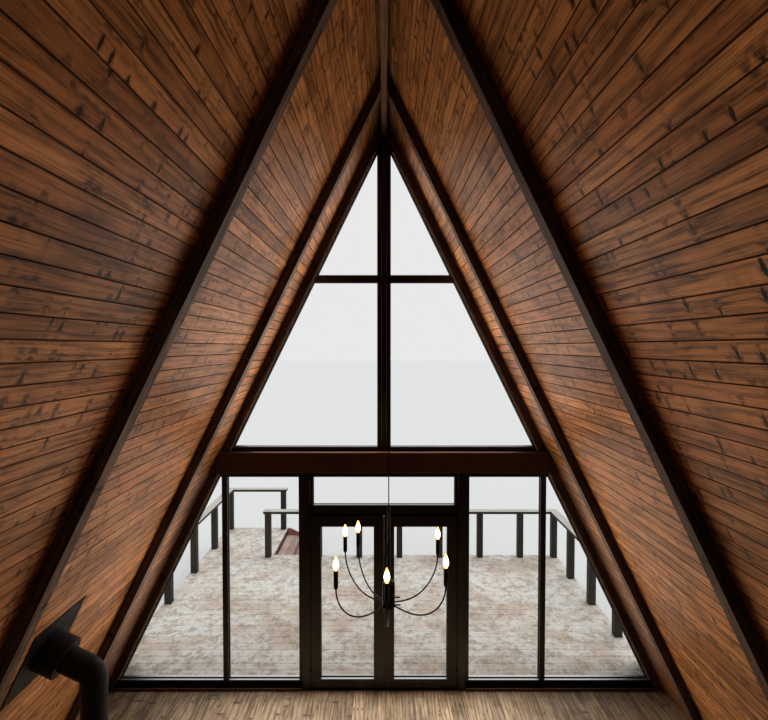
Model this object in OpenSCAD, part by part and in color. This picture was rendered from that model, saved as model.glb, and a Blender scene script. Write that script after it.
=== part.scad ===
// A-frame cabin with a glazed front gable, a raised deck with steps, and a six-arm lamp inside.
// Millimetres, +Z up, ground level at z = 0. The glazed gable faces -Y, and right means +X, as
// seen from the deck. The origin is on the ground under the middle of the overall box.

/* [Room] */
// Half the clear width between the two linings, at the floor
room_half_w = 3300; // [2900:10:3800]
// Clear height from the floor to the line where the linings would meet
room_h = 6700; // [6200:10:7400]
// Distance between the middles of neighbouring rafters
bay = 1970; // [1500:10:2400]
// Number of whole bays between the first and the last rafter
bays = 4; // [2:1:5]
// Distance from a gable's inner face to the middle of the nearest rafter
end_bay = 955; // [700:5:1300]

/* [Roof slopes] */
// Width of a rafter, along the ridge
rafter_w = 110; // [80:1:160]
// How far a rafter stands out from the lining into the room
rafter_proud = 80; // [40:1:110]
// Thickness of the boards that line the slopes
lining_t = 20; // [12:1:30]
// Thickness of the insulation behind the lining
panel_t = 100; // [60:1:200]
// Thickness of the roof deck with its metal sheets
cover_t = 30; // [20:1:60]
// Height of the lower edge of the roof above the ground
eaves_z = 130; // [60:5:200]
// How far the roof runs past each gable
verge = 350; // [150:10:500]
// Thickness of the barge boards
barge_t = 32; // [20:1:50]
// Depth of the barge boards, square to the slope
barge_d = 160; // [120:1:200]
// Width of the ridge beam
ridge_w = 55; // [40:1:90]
// Shadow gap between the ridge beam and the lining
ridge_gap = 15; // [5:1:30]
// Width of each wing of the ridge cap
cap_w = 190; // [120:5:300]
// Thickness of the folded ridge cap
cap_t = 6; // [3:0.5:10]

/* [Floor and base] */
// Height of the floor above the ground
floor_top = 480; // [440:10:700]
// Thickness of the floor boards with the layer under them
floor_t = 60; // [40:1:90]
// Depth of the floor beams
beam_d = 170; // [120:5:200]
// Side of a square concrete pier under the cabin
pier_w = 220; // [150:5:240]
// Distance from the middle of the cabin to the inner piers
inner_pier_x = 1150; // [800:10:1600]

/* [Gables] */
// Thickness of both gables, from inner to outer face
gable_t = 160; // [150:1:200]
// Width of the window and door frames that show round the glass
frame_w = 45; // [30:1:70]
// Width of the slimmer frames along the slopes and at both ends of the light over the doors
slim_w = 28; // [20:1:50]
// Distance from the gable's inner face to the frames
frame_in = 50; // [40:1:60]
// Depth of the window frames, through the wall
frame_d = 80; // [60:1:90]
// Thickness of the glass units
glass_t = 24; // [12:1:36]
// Height of the tie beam's underside above the floor
tie_h = 2604; // [2500:1:2800]
// Depth of the tie beams
tie_d = 230; // [150:1:250]
// Thickness of the tie beams, which lie against the gables inside
tie_t = 80; // [50:1:110]

/* [Front glazing] */
// Height of the dark rail between the storeys above the floor, to its underside
rail_h = 2565; // [2450:1:2700]
// Depth of the dark rail between the storeys
rail_d = 266; // [200:1:320]
// Width of the middle post of the upper storey
upper_post_w = 61; // [50:1:120]
// Height of the upper crossbar above the floor, to its underside
bar_h = 4800; // [4000:10:5200]
// Depth of the upper crossbar
bar_d = 83; // [60:1:160]
// Distance from the middle to the inner face of a door post
door_post_x = 863; // [800:1:950]
// Width of a door post
door_post_w = 98; // [70:1:140]
// Distance from the middle to the far side of the square-cornered side light
side_light_x = 1846; // [1500:1:1900]
// Width of the bar between the two side lights
side_bar_w = 65; // [60:1:120]
// Height of the bottom rail under the side lights
base_rail_h = 88; // [70:1:200]
// Thickness of the door threshold
threshold_t = 25; // [15:1:30]

/* [Doors] */
// Height of a door leaf's lower edge above the floor
leaf_low = 33; // [30:1:45]
// Height of a door leaf's upper edge above the floor
leaf_high = 2072; // [1900:1:2150]
// Thickness of a door leaf
leaf_t = 70; // [50:1:75]
// Gap between a leaf and the post beside it
leaf_gap = 8; // [5:1:12]
// Gap between the two leaves
meeting_gap = 10; // [9:1:16]
// Width of a leaf's stiles
stile_w = 112; // [80:1:150]
// Height of a leaf's bottom rail
bottom_rail_h = 100; // [80:1:300]
// Height of a leaf's top rail
top_rail_h = 125; // [80:1:160]
// Height of the rail between the doors and the light over them
transom_d = 106; // [80:1:180]
// Radius of the hinge knuckles
knuckle_r = 8; // [6:0.5:9]
// Length of a whole hinge
hinge_len = 100; // [70:1:140]
// Height of the door handle above the floor
handle_h = 1050; // [950:10:1150]

/* [Deck] */
// How far the deck lies below the floor
deck_drop = 30; // [0:5:60]
// Distance from the middle to the deck's right edge
deck_right_w = 3510; // [3350:10:3600]
// Distance from the middle to the deck's left edge
deck_left_w = 3375; // [3350:5:3600]
// Distance from the gable's inner face to the deck's front edge
deck_len = 3840; // [3000:10:4600]
// Distance from the gable's inner face to the landing's front edge
landing_len = 5300; // [4900:10:6200]
// Distance from the middle to the landing's inner edge
landing_x = 2170; // [1800:10:2400]
// Thickness of the deck boards
board_t = 30; // [20:1:45]
// Depth of the joists under the deck
joist_d = 150; // [100:5:200]
// Thickness of the joists under the deck
joist_t = 45; // [35:1:70]
// Number of gaps between the joists of the main deck
joist_gaps = 12; // [8:1:16]
// Side of a square pier under the deck
deck_pier_w = 160; // [100:5:220]
// Gap between the main deck and the landing
deck_gap = 5; // [2:1:10]

/* [Railing] */
// Height of the top of the railing above the deck
railing_h = 910; // [750:10:1100]
// Side of a square railing post
post_w = 110; // [80:1:130]
// Width of the flat top rail
top_rail_w = 160; // [130:1:180]
// Thickness of the flat top rail
top_rail_t = 50; // [25:1:60]
// Distance from the middle to the leftmost post between the front railing's two ends
front_post_x = 2640; // [2300:10:2700]
// Distance between the posts along the front
front_post_step = 780; // [600:10:900]
// Distance between the posts along the right side
right_post_step = 1060; // [800:10:1080]
// Distance between the posts along the left side
left_post_step = 870; // [800:10:950]

/* [Steps] */
// Depth of a tread
tread_go = 300; // [250:5:340]
// Thickness of a tread
tread_t = 40; // [30:1:50]
// Thickness of the stringers and riser boards
stringer_t = 45; // [30:1:60]
// How far the flight stops short of the landing's two edges
flight_inset = 60; // [20:5:120]

/* [Flue] */
// Radius of the black stove pipe
flue_r = 86; // [75:1:88]
// Radius of the insulated pipe that goes through the roof
sleeve_r = 138; // [120:1:160]
// Distance from the middle of the cabin to the stove pipe
flue_x = 2005; // [1900:5:2040]
// Distance from the front gable to the stove pipe
flue_y = 2350; // [2200:10:2500]
// Height above the floor at which the pipe starts to bend
flue_bend_h = 1750; // [1650:10:1800]
// Height of the pipe's lower socket above the floor
flue_low_h = 900; // [600:10:1200]
// Radius of the elbow, which turns the pipe square to the slope
elbow_r = 92; // [90:1:110]
// How far the insulated pipe stands out from the lining
sleeve_out = 155; // [60:5:180]
// Side of the square plate on the lining
plate_w = 530; // [450:10:640]
// Thickness of the plates on the lining and on the roof
plate_t = 6; // [3:0.5:10]
// Distance from the middle of the cabin to the outer chimney
chimney_x = 2850; // [2800:10:3000]
// Height of the top of the chimney above the floor
chimney_top_h = 4000; // [3500:10:5000]
// Height of the chimney's stay above the floor
stay_h = 2900; // [2700:10:3200]

/* [Lamp] */
// Distance from the middle of the cabin to the lamp, to the left
lamp_off = 30; // [0:1:40]
// Distance from the front gable to the lamp
lamp_y = 2600; // [2200:10:3200]
// Height of the lowest point of the arms above the floor
arm_low_h = 2400; // [2200:10:2600]
// Distance from the lamp's middle to a candle
arm_reach = 400; // [320:5:520]
// Radius of the upward bend of an arm
arm_bend_r = 240; // [120:5:260]
// Radius of the arm's rod
arm_r = 4.75; // [3.5:0.25:8]
// How far an arm drops from the hub to its lowest point
arm_drop = 15; // [8:1:40]
// Radius of the hub
hub_r = 40; // [30:1:60]
// Length of the hub
hub_len = 157; // [120:1:220]
// Radius of a candle sleeve
candle_r = 13.5; // [9:0.5:20]
// Length of a candle sleeve
candle_len = 105; // [60:1:160]
// Length of a bulb
bulb_len = 85; // [60:1:120]
// Widest radius of a bulb
bulb_r = 17.5; // [12:0.5:25]
// Radius of the lamp's stem
stem_r = 10; // [6:0.5:15]
// Height of the top of the stem above the floor
stem_top_h = 3050; // [2800:10:3600]
// Radius of the lamp cable
cable_r = 4; // [2.5:0.5:8]

/* [Rear windows] */
// Half the width of the upper rear window
rear_top_half_w = 600; // [400:10:700]
// Height of the upper rear window's sill above the floor
rear_top_sill_h = 3250; // [3000:10:3500]
// Height of the upper rear window
rear_top_window_h = 1200; // [800:10:1300]
// Distance from the middle to a lower rear window
rear_low_x = 700; // [300:10:1000]
// Width of a lower rear window
rear_low_w = 900; // [500:10:1000]
// Height of the lower rear windows' sill above the floor
rear_low_sill_h = 950; // [700:10:1200]
// Height of the lower rear windows
rear_low_window_h = 1150; // [700:10:1250]

/* [Hidden] */
$fn = 48;
// Gap that keeps two slanted faces of neighbouring pieces apart
seat = 0.3;
// Headings of the lamp's arms, as they hang in the room: degrees from the rear towards the left
arm_headings = [358, 57, 123, 212, 228, 309];

// Slopes: t is measured square to the lining, outwards from its inner face
slope_k = room_h / room_half_w;
slope_a = atan(slope_k);
ridge_z = floor_top + room_h;
rafter_back = lining_t + panel_t;
cover_back = rafter_back + cover_t;
function slope_x(t, z) = (ridge_z - z) / slope_k + t / sin(slope_a);
function slope_z(t, x) = ridge_z - slope_k * (x - t / sin(slope_a));

// Lengths along Y, from the front gable's inner face at y = 0
room_len = 2 * end_bay + bays * bay;
rafter_ys = [for (i = [0 : bays]) end_bay + i * bay];
gable_out = gable_t + verge;
rear_end = room_len + gable_out + barge_t;
middle_y = (rear_end - landing_len) / 2;

// Heights from the ground
beam_top = floor_top - floor_t;
beam_low = beam_top - beam_d;
ridge_low = slope_z(-rafter_proud, ridge_w / 2);
deck_top = floor_top - deck_drop;
deck_low = deck_top - board_t;
joist_low = deck_low - joist_d;
railing_top = deck_top + railing_h;

// Front glazing
frame_back = frame_in + frame_d;
glass_in = frame_in + (frame_d - glass_t) / 2;
sight_t = rafter_proud + slim_w;
door_post_out = door_post_x + door_post_w;
upper_sight_x = upper_post_w / 2 + frame_w;
side_sight_x = door_post_out + frame_w;
over_door_x = door_post_x - slim_w;
upper_low = floor_top + rail_h + rail_d;
lower_top = floor_top + rail_h;
bar_low = floor_top + bar_h;

// Doors: the leaf lies against a rebate in the frame, and turns on knuckles inside the room
leaf_rebate = 20;
leaf_clear = 6;
leaf_out = door_post_x - leaf_gap;
leaf_glass_in = 0.72 * (leaf_t - glass_t);
leaf_z0 = floor_top + leaf_low;
leaf_z1 = floor_top + leaf_high;
jamb_in = leaf_t + leaf_clear;
hinge_y = knuckle_r + 1.5;
hinge_plate = [30, 3];
hinge_strap = 4;
hinge_inset = 150;

// Outer edge of the deck beside the roof's verge, and the flight of steps
throat_x = slope_x(cover_back - barge_d, deck_top) - 2 * deck_gap;
throat_y = -(gable_out + barge_t + deck_gap);
joist_step = (deck_left_w + deck_right_w - joist_t) / joist_gaps;
first_joist_x = -deck_left_w + joist_t / 2;
function joist_x(x) = first_joist_x + joist_step * round((x - first_joist_x) / joist_step);
landing_y = -(deck_len + deck_gap);
riser = deck_top / 3;
string_proud = 80;
rail_inset = top_rail_w / 2;
right_rail_x = deck_right_w - rail_inset;
left_rail_x = deck_left_w - rail_inset;

// Flue
bend_z = floor_top + flue_bend_h;
elbow_end = [flue_x + elbow_r * (1 - cos(slope_a)), bend_z + elbow_r * sin(slope_a)];
slope_run = (slope_x(0, elbow_end[1]) - elbow_end[0]) * sin(slope_a);
stack_run = (chimney_x - elbow_end[0]) / sin(slope_a);
collar_len = slope_run - sleeve_out;
stack_z = elbow_end[1] + stack_run * cos(slope_a);
stack_r = sleeve_r + 3;

// Moves the cabin so that the origin is under the middle of its box
module placed() translate([0, -middle_y, 0]) children();

// Extrudes an outline drawn in X and Z from y0 to y1
module along_y(y0, y1)
    translate([0, y1, 0]) rotate([90, 0, 0]) linear_extrude(height = y1 - y0) children();

module block(x0, x1, y0, y1, z0, z1)
    translate([x0, y0, z0]) cube([x1 - x0, y1 - y0, z1 - z0]);

module both_sides() {
    children();
    mirror([1, 0, 0]) children();
}

// Section of a layer of the right slope, from depth t0 to t1, level at z0 and plumb at x_top
module slope_layer(t0, t1, z0, x_top)
    polygon([
        [slope_x(t0, z0), z0], [slope_x(t1, z0), z0],
        [x_top, slope_z(t1, x_top)], [x_top, slope_z(t0, x_top)]
    ]);

// Section of a strip on the right slope, from depth t0 to t1, level at z0 and z1
module slope_strip(t0, t1, z0, z1)
    polygon([
        [slope_x(t0, z0), z0], [slope_x(t1, z0), z0],
        [slope_x(t1, z1), z1], [slope_x(t0, z1), z1]
    ]);

// The area between the slopes at depth t, from z0 to z1
module between_slopes(t, z0, z1)
    polygon([
        [-slope_x(t, z0), z0], [slope_x(t, z0), z0],
        [slope_x(t, z1), z1], [-slope_x(t, z1), z1]
    ]);

module flat_rect(x0, x1, z0, z1) translate([x0, z0]) square([x1 - x0, z1 - z0]);

// Along the leaning part of the flue, with z measured from the elbow's end, square to the slope
module on_flue(s)
    translate([elbow_end[0], flue_y, elbow_end[1]]) rotate([0, slope_a, 0])
        translate([0, 0, s]) children();

module flue_hole(r) on_flue(collar_len) cylinder(r = r, h = stack_run - collar_len);

// Base

module piers() {
    foot_x = (slope_x(-rafter_proud, beam_low) + slope_x(rafter_back, beam_low)) / 2;
    frame_ys = concat([-gable_t / 2], rafter_ys, [room_len + gable_t / 2]);
    color("gray") placed() {
        for (x = [-foot_x, -inner_pier_x, inner_pier_x, foot_x], y = frame_ys)
            block(x - pier_w / 2, x + pier_w / 2, y - pier_w / 2, y + pier_w / 2, 0, beam_low);
        edge = deck_pier_w / 2 + joist_t / 4;
        for (x = [-deck_left_w + edge, joist_x(-inner_pier_x), joist_x(inner_pier_x),
                  deck_right_w - edge],
             y = [-deck_len + edge, -deck_len / 2])
            deck_pier(x, y);
        for (x = [landing_x + edge, deck_right_w - edge])
            deck_pier(x, -landing_len + edge);
    }
}

module deck_pier(x, y)
    block(x - deck_pier_w / 2, x + deck_pier_w / 2, y - deck_pier_w / 2, y + deck_pier_w / 2,
          0, joist_low);

module floor_beam(y0, y1)
    along_y(y0, y1) between_slopes(-rafter_proud - seat, beam_low, beam_top);

module floor_beams()
    color("#4a3020") placed() {
        for (y = rafter_ys) floor_beam(y - rafter_w / 2, y + rafter_w / 2);
        floor_beam(-gable_t, 0);
        floor_beam(room_len, room_len + gable_t);
    }

module floor()
    color("#c8a06e") placed() difference() {
        along_y(0, room_len) between_slopes(-seat, beam_top, floor_top);
        for (y = rafter_ys)
            both_sides() along_y(y - rafter_w / 2 - seat, y + rafter_w / 2 + seat)
                slope_layer(-rafter_proud - seat, rafter_back, beam_low, room_half_w / 2);
    }

// Roof

module rafter_set() {
    for (y = rafter_ys)
        along_y(y - rafter_w / 2, y + rafter_w / 2) rafter_outline();
    along_y(-gable_t, -seat) rafter_outline();
    along_y(room_len + seat, room_len + gable_t) rafter_outline();
}

module rafter_outline()
    slope_layer(-rafter_proud, rafter_back - seat, beam_low, ridge_w / 2);

module rafters_right() color("#1c1614") placed() rafter_set();

module rafters_left() color("#1c1614") placed() mirror([1, 0, 0]) rafter_set();

module ridge_beam()
    color("#5d3a22") placed()
        block(-ridge_w / 2, ridge_w / 2, -gable_t, room_len + gable_t, ridge_low,
              slope_z(rafter_back - seat, ridge_w / 2));

// One layer of the slope, in pieces that fit between the rafters
module layer_in_bays(t0, t1, z0, x_top) {
    starts = concat([0], [for (y = rafter_ys) y + rafter_w / 2]);
    ends = concat([for (y = rafter_ys) y - rafter_w / 2], [room_len]);
    for (i = [0 : len(starts) - 1])
        along_y(starts[i] + seat, ends[i] - seat) slope_layer(t0, t1, z0, x_top);
}

module lining() layer_in_bays(0, lining_t, beam_top, ridge_w / 2 + ridge_gap);

module lining_right()
    color("#a8642f") placed() difference() {
        lining();
        flue_hole(sleeve_r + 2);
    }

module lining_left() color("#a8642f") placed() mirror([1, 0, 0]) lining();

module roof_panels()
    layer_in_bays(lining_t + seat, rafter_back - seat, beam_low, ridge_w / 2);

module roof_panels_right()
    color("#d9c58a") placed() difference() {
        roof_panels();
        flue_hole(sleeve_r + 2);
    }

module roof_panels_left() color("#d9c58a") placed() mirror([1, 0, 0]) roof_panels();

module roof_covering()
    along_y(-gable_out, room_len + gable_out)
        slope_layer(rafter_back, cover_back, eaves_z, seat / 2);

module roof_covering_right()
    color("#2b2b2d") placed() difference() {
        roof_covering();
        flue_hole(sleeve_r + 2);
    }

module roof_covering_left() color("#2b2b2d") placed() mirror([1, 0, 0]) roof_covering();

module ridge_cap() {
    low = slope_z(cover_back + seat, 0) - cap_w * sin(slope_a);
    color("#232325") placed() along_y(-gable_out, room_len + gable_out) difference() {
        between_slopes(cover_back + cap_t, low, slope_z(cover_back + cap_t, 0));
        between_slopes(cover_back + seat, low, slope_z(cover_back + seat, 0));
    }
}

module barge_pair(y0)
    both_sides() along_y(y0, y0 + barge_t)
        slope_layer(cover_back - barge_d, cover_back, eaves_z, seat / 2);

module barge_boards()
    color("#1c1614") placed() {
        barge_pair(-gable_out - barge_t);
        barge_pair(room_len + gable_out);
    }

// Front gable

module front_sill()
    color("#1c1614") placed() {
        along_y(-gable_t, 0) between_slopes(-rafter_proud - seat, beam_top, floor_top);
        block(-door_post_x, door_post_x, -gable_t, -leaf_t / 2, floor_top,
              floor_top + threshold_t);
    }

module front_tie_beam()
    color("#4b2416") placed() along_y(0, tie_t)
        between_slopes(-seat, floor_top + tie_h, floor_top + tie_h + tie_d);

module front_rail()
    color("#17120f") placed() along_y(-gable_t, 0)
        between_slopes(-rafter_proud - seat, lower_top, upper_low);

module upper_mullion()
    color("#17120f") placed() along_y(-gable_t, 0) intersection() {
        between_slopes(-rafter_proud - seat, upper_low, ridge_low);
        flat_rect(-upper_post_w / 2, upper_post_w / 2, upper_low, ridge_low);
    }

// The two lights of the right half of the upper storey, below and above the crossbar
module upper_lights() {
    top = slope_z(-sight_t, upper_sight_x);
    intersection() {
        between_slopes(-sight_t, upper_low, ridge_low);
        union() {
            flat_rect(upper_sight_x, room_half_w, upper_low + frame_w, bar_low);
            flat_rect(upper_sight_x, room_half_w, bar_low + bar_d, top);
        }
    }
}

module upper_frames()
    color("#17120f") placed() both_sides() along_y(-frame_back, -frame_in) difference() {
        intersection() {
            between_slopes(-rafter_proud - seat, upper_low, ridge_low);
            flat_rect(upper_post_w / 2, room_half_w, upper_low, ridge_low);
        }
        upper_lights();
    }

module glass_layer()
    along_y(-glass_in - glass_t, -glass_in) children();

module upper_glass()
    color("lightblue", 0.4) placed() both_sides() glass_layer() upper_lights();

module door_posts()
    color("#17120f") placed() both_sides()
        block(door_post_x, door_post_out, -gable_t, 0, floor_top, lower_top);

// The two side lights of the right half of the lower storey
module side_lights()
    intersection() {
        between_slopes(-sight_t, floor_top + base_rail_h, lower_top - frame_w);
        union() {
            flat_rect(side_sight_x, side_light_x, floor_top, lower_top);
            flat_rect(side_light_x + side_bar_w, room_half_w, floor_top, lower_top);
        }
    }

module lower_frames()
    color("#17120f") placed() both_sides() along_y(-frame_back, -frame_in) difference() {
        intersection() {
            between_slopes(-rafter_proud - seat, floor_top, lower_top);
            flat_rect(door_post_out, room_half_w, floor_top, lower_top);
        }
        side_lights();
    }

module over_door_light()
    flat_rect(-over_door_x, over_door_x, leaf_z1 + transom_d + leaf_gap, lower_top - frame_w);

module lower_glass()
    color("lightblue", 0.4) placed() {
        both_sides() glass_layer() side_lights();
        glass_layer() over_door_light();
    }

module door_jambs()
    color("#17120f") placed() both_sides()
        block(leaf_out - leaf_rebate, door_post_x, -frame_back, -jamb_in,
              floor_top + threshold_t, leaf_z1 - leaf_rebate);

module door_head()
    color("#17120f") placed() {
        along_y(-frame_back, -jamb_in) difference() {
            flat_rect(-door_post_x, door_post_x, leaf_z1 - leaf_rebate, lower_top);
            over_door_light();
        }
        along_y(-jamb_in, -frame_in) difference() {
            flat_rect(-door_post_x, door_post_x, leaf_z1 + leaf_gap, lower_top);
            over_door_light();
        }
    }

// Doors

hinge_zs = [
    leaf_z0 + hinge_inset, (leaf_z0 + leaf_z1) / 2, leaf_z1 - hinge_inset - hinge_len / 2
];

module knuckle(z) translate([door_post_x, hinge_y, z]) cylinder(r = knuckle_r, h = hinge_len / 2);

// The lower knuckle of each hinge, on a plate on the post
module post_hinges()
    for (z = hinge_zs) {
        knuckle(z - hinge_len / 2);
        block(door_post_x + 2, door_post_x + hinge_plate[0], 0, hinge_plate[1],
              z - hinge_len / 2, z);
        block(door_post_x + 2, door_post_x + knuckle_r, 0, hinge_y, z - hinge_len / 2, z);
    }

module door_hinges() color("#1a1a1a") placed() both_sides() post_hinges();

module leaf_light()
    flat_rect(meeting_gap / 2 + stile_w, leaf_out - stile_w, leaf_z0 + bottom_rail_h,
              leaf_z1 - top_rail_h);

// A leaf with the upper knuckles of its hinges
module leaf() {
    along_y(-leaf_t, 0) difference() {
        flat_rect(meeting_gap / 2, leaf_out, leaf_z0, leaf_z1);
        leaf_light();
    }
    for (z = hinge_zs) {
        knuckle(z + seat);
        block(leaf_out - hinge_plate[0], leaf_out, 0, hinge_plate[1], z + seat,
              z + hinge_len / 2 + seat);
        block(leaf_out - knuckle_r, door_post_x, hinge_y - hinge_strap, hinge_y, z + seat,
              z + hinge_len / 2 + seat);
        block(leaf_out - knuckle_r, leaf_out - 1, 0, hinge_y, z + seat,
              z + hinge_len / 2 + seat);
    }
}

module leaf_glass()
    along_y(-leaf_glass_in - glass_t, -leaf_glass_in) leaf_light();

module door_right() color("#1b1512") placed() leaf();

module door_right_glass() color("lightblue", 0.4) placed() leaf_glass();

module door_left() color("#1b1512") placed() mirror([1, 0, 0]) leaf();

module door_left_glass() color("lightblue", 0.4) placed() mirror([1, 0, 0]) leaf_glass();

// A lever with its plate, on a face at y = 0, with the lever towards the hinges
module lever() {
    plate_w = 34;
    plate_h = 210;
    plate_d = 8;
    lever_r = 9;
    lever_len = 125;
    lever_y = 50;
    block(-plate_w / 2, plate_w / 2, 0, plate_d, -plate_h / 2, plate_h / 2);
    translate([0, plate_d / 2, 0]) rotate([-90, 0, 0]) cylinder(r = lever_r, h = lever_y - plate_d / 2);
    translate([0, lever_y, 0]) sphere(r = lever_r);
    translate([-lever_len, lever_y, 0]) rotate([0, 90, 0]) cylinder(r = lever_r, h = lever_len);
    translate([-lever_len, lever_y, 0]) sphere(r = lever_r);
}

module door_handle()
    color("#2a2a2a") placed()
        translate([-(meeting_gap / 2 + stile_w / 2), 0, floor_top + handle_h]) {
            lever();
            translate([0, -leaf_t, 0]) mirror([0, 1, 0]) lever();
        }

// Rear gable

module rear_tie_beam()
    color("#4b2416") placed() along_y(room_len - tie_t, room_len)
        between_slopes(-seat, floor_top + tie_h, floor_top + tie_h + tie_d);

module rear_openings(inset) {
    low_z = floor_top + rear_low_sill_h;
    top_z = floor_top + rear_top_sill_h;
    flat_rect(-rear_top_half_w + inset, rear_top_half_w - inset, top_z + inset,
              top_z + rear_top_window_h - inset);
    both_sides()
        flat_rect(rear_low_x + inset, rear_low_x + rear_low_w - inset, low_z + inset,
                  low_z + rear_low_window_h - inset);
}

// The middle bar of the upper rear window
module rear_bar(z0, z1) flat_rect(-frame_w / 2, frame_w / 2, z0, z1);

module rear_glass_outline()
    difference() {
        rear_openings(frame_w);
        rear_bar(floor_top + rear_top_sill_h, floor_top + rear_top_sill_h + rear_top_window_h);
    }

module rear_wall()
    color("#8f5530") placed() along_y(room_len, room_len + gable_t) difference() {
        between_slopes(-rafter_proud - seat, beam_top, ridge_low);
        rear_openings(0);
    }

module rear_window_frames()
    color("#17120f") placed() along_y(room_len + frame_in, room_len + frame_back) difference() {
        rear_openings(0);
        rear_glass_outline();
    }

module rear_window_glass()
    color("lightblue", 0.4) placed()
        along_y(room_len + glass_in, room_len + glass_in + glass_t) rear_glass_outline();

// Deck

module rim(x0, x1, y0) block(x0, x1, y0, y0 + joist_t, joist_low, deck_low);

// Joists from x0 to x1, with gaps as even as the width allows, between rims at y0 and y1
module joists(x0, x1, y0, y1, gaps) {
    step = (x1 - x0 - joist_t) / gaps;
    for (i = [0 : gaps])
        block(x0 + i * step, x0 + i * step + joist_t, y0 + seat, y1 - seat, joist_low, deck_low);
}

module deck_frame()
    color("#4a3a2c") placed() {
        rim(-deck_left_w, deck_right_w, -deck_len);
        joists(-deck_left_w, deck_right_w, -deck_len + joist_t, throat_y - joist_t, joist_gaps);
        rim(-deck_left_w, deck_right_w, throat_y - joist_t);
        joists(-throat_x, throat_x, throat_y, -gable_t - joist_t, joist_gaps);
        rim(-throat_x, throat_x, -gable_t - joist_t);
        rim(landing_x, deck_right_w, -landing_len);
        joists(landing_x, deck_right_w, -landing_len + joist_t, landing_y - joist_t, 2);
        rim(landing_x, deck_right_w, landing_y - joist_t);
    }

module deck_boards()
    color("#b3aa9a") placed() {
        block(-deck_left_w, deck_right_w, -deck_len, throat_y, deck_low, deck_top);
        block(-throat_x, throat_x, throat_y, -gable_t, deck_low, deck_top);
        block(landing_x, deck_right_w, -landing_len, landing_y, deck_low, deck_top);
    }

module railing_post(x, y)
    block(x - post_w / 2, x + post_w / 2, y - post_w / 2, y + post_w / 2, deck_top,
          railing_top - top_rail_t - seat);

module top_rail(x0, x1, y0, y1) block(x0, x1, y0, y1, railing_top - top_rail_t, railing_top);

module deck_railing_front() {
    y = -deck_len + rail_inset;
    last = floor((landing_x + front_post_x) / front_post_step - 0.5);
    color("#3b332b") placed() {
        railing_post(landing_x + rail_inset, y);
        for (i = [0 : last]) railing_post(-front_post_x + i * front_post_step, y);
        top_rail(-left_rail_x + rail_inset, landing_x + top_rail_w, y - rail_inset, y + rail_inset);
    }
}

// A railing along one side, with its first post at y_first and the rest towards the cabin
module side_railing(x, y_first, step) {
    last = floor((-y_first + throat_y - post_w) / step);
    for (i = [0 : last]) railing_post(x, y_first + i * step);
    top_rail(x - rail_inset, x + rail_inset, y_first - rail_inset, y_first + last * step + rail_inset);
}

module deck_railing_right()
    color("#3b332b") placed()
        side_railing(right_rail_x, -landing_len + rail_inset, right_post_step);

module deck_railing_left()
    color("#3b332b") placed() mirror([1, 0, 0])
        side_railing(left_rail_x, -deck_len + rail_inset, left_post_step);

module landing_railing() {
    y = -landing_len + rail_inset;
    color("#3b332b") placed() {
        railing_post(landing_x + rail_inset, y);
        top_rail(landing_x, right_rail_x - rail_inset, y - rail_inset, y + rail_inset);
    }
}

module step_stringers() {
    y0 = -landing_len + flight_inset;
    y1 = landing_y - flight_inset;
    top = deck_top - riser - tread_t;
    outline = [
        [landing_x, top - riser], [landing_x, top], [landing_x - tread_go, top],
        [landing_x - tread_go, top - riser], [landing_x - 2 * tread_go, top - riser],
        [landing_x - 2 * tread_go, 0], [landing_x - 2 * tread_go + riser, 0]
    ];
    // The two side stringers close the ends of the treads, and run a little above their noses
    side_outline = [
        [landing_x, deck_top], [landing_x - string_proud, deck_top],
        [landing_x - 2 * tread_go - string_proud, deck_top - 2 * riser],
        [landing_x - 2 * tread_go - string_proud, 0], [landing_x - 2 * tread_go + riser, 0],
        [landing_x, deck_top - 2 * riser]
    ];
    color("#5a3d2b") placed() {
        along_y((y0 + y1 - stringer_t) / 2, (y0 + y1 + stringer_t) / 2) polygon(outline);
        for (y = [y0 - stringer_t, y1]) along_y(y, y + stringer_t) polygon(side_outline);
        for (i = [1, 2])
            block(landing_x - i * tread_go, landing_x - i * tread_go + stringer_t / 2, y0, y1,
                  i == 2 ? 0 : top - riser, top - (i - 1) * riser);
    }
}

module step_treads()
    color("#b3aa9a") placed() for (i = [1, 2])
        block(landing_x - i * tread_go, landing_x - (i - 1) * tread_go,
              -landing_len + flight_inset, landing_y - flight_inset,
              deck_top - i * riser - tread_t, deck_top - i * riser);

// Flue

module flue_pipe() {
    low = floor_top + flue_low_h;
    ring_r = flue_r + 6;
    ring_h = 30;
    color("#141414") placed() {
        translate([flue_x, flue_y, low]) difference() {
            union() {
                cylinder(r = flue_r, h = bend_z - low);
                cylinder(r = ring_r, h = ring_h);
            }
            translate([0, 0, -1]) cylinder(r = flue_r - 4, h = 2 * ring_h);
        }
        translate([flue_x + elbow_r, flue_y, bend_z]) rotate([90, 0, 0])
            rotate([0, 0, 180 - slope_a]) rotate_extrude(angle = slope_a)
                translate([elbow_r, 0]) circle(r = flue_r);
        on_flue(0) cylinder(r = flue_r + 2, h = collar_len);
    }
}

// A square plate on the slope at depth t, round the pipe's way out
module slope_plate(t) {
    half = plate_w / 2;
    difference() {
        on_flue(slope_run + t) translate([-half, -half, 0]) cube([plate_w, plate_w, plate_t]);
        flue_hole(sleeve_r + seat);
    }
}

module flue_plates()
    color("#141414") placed() {
        slope_plate(-plate_t - seat);
        slope_plate(cover_back + seat);
    }

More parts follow.
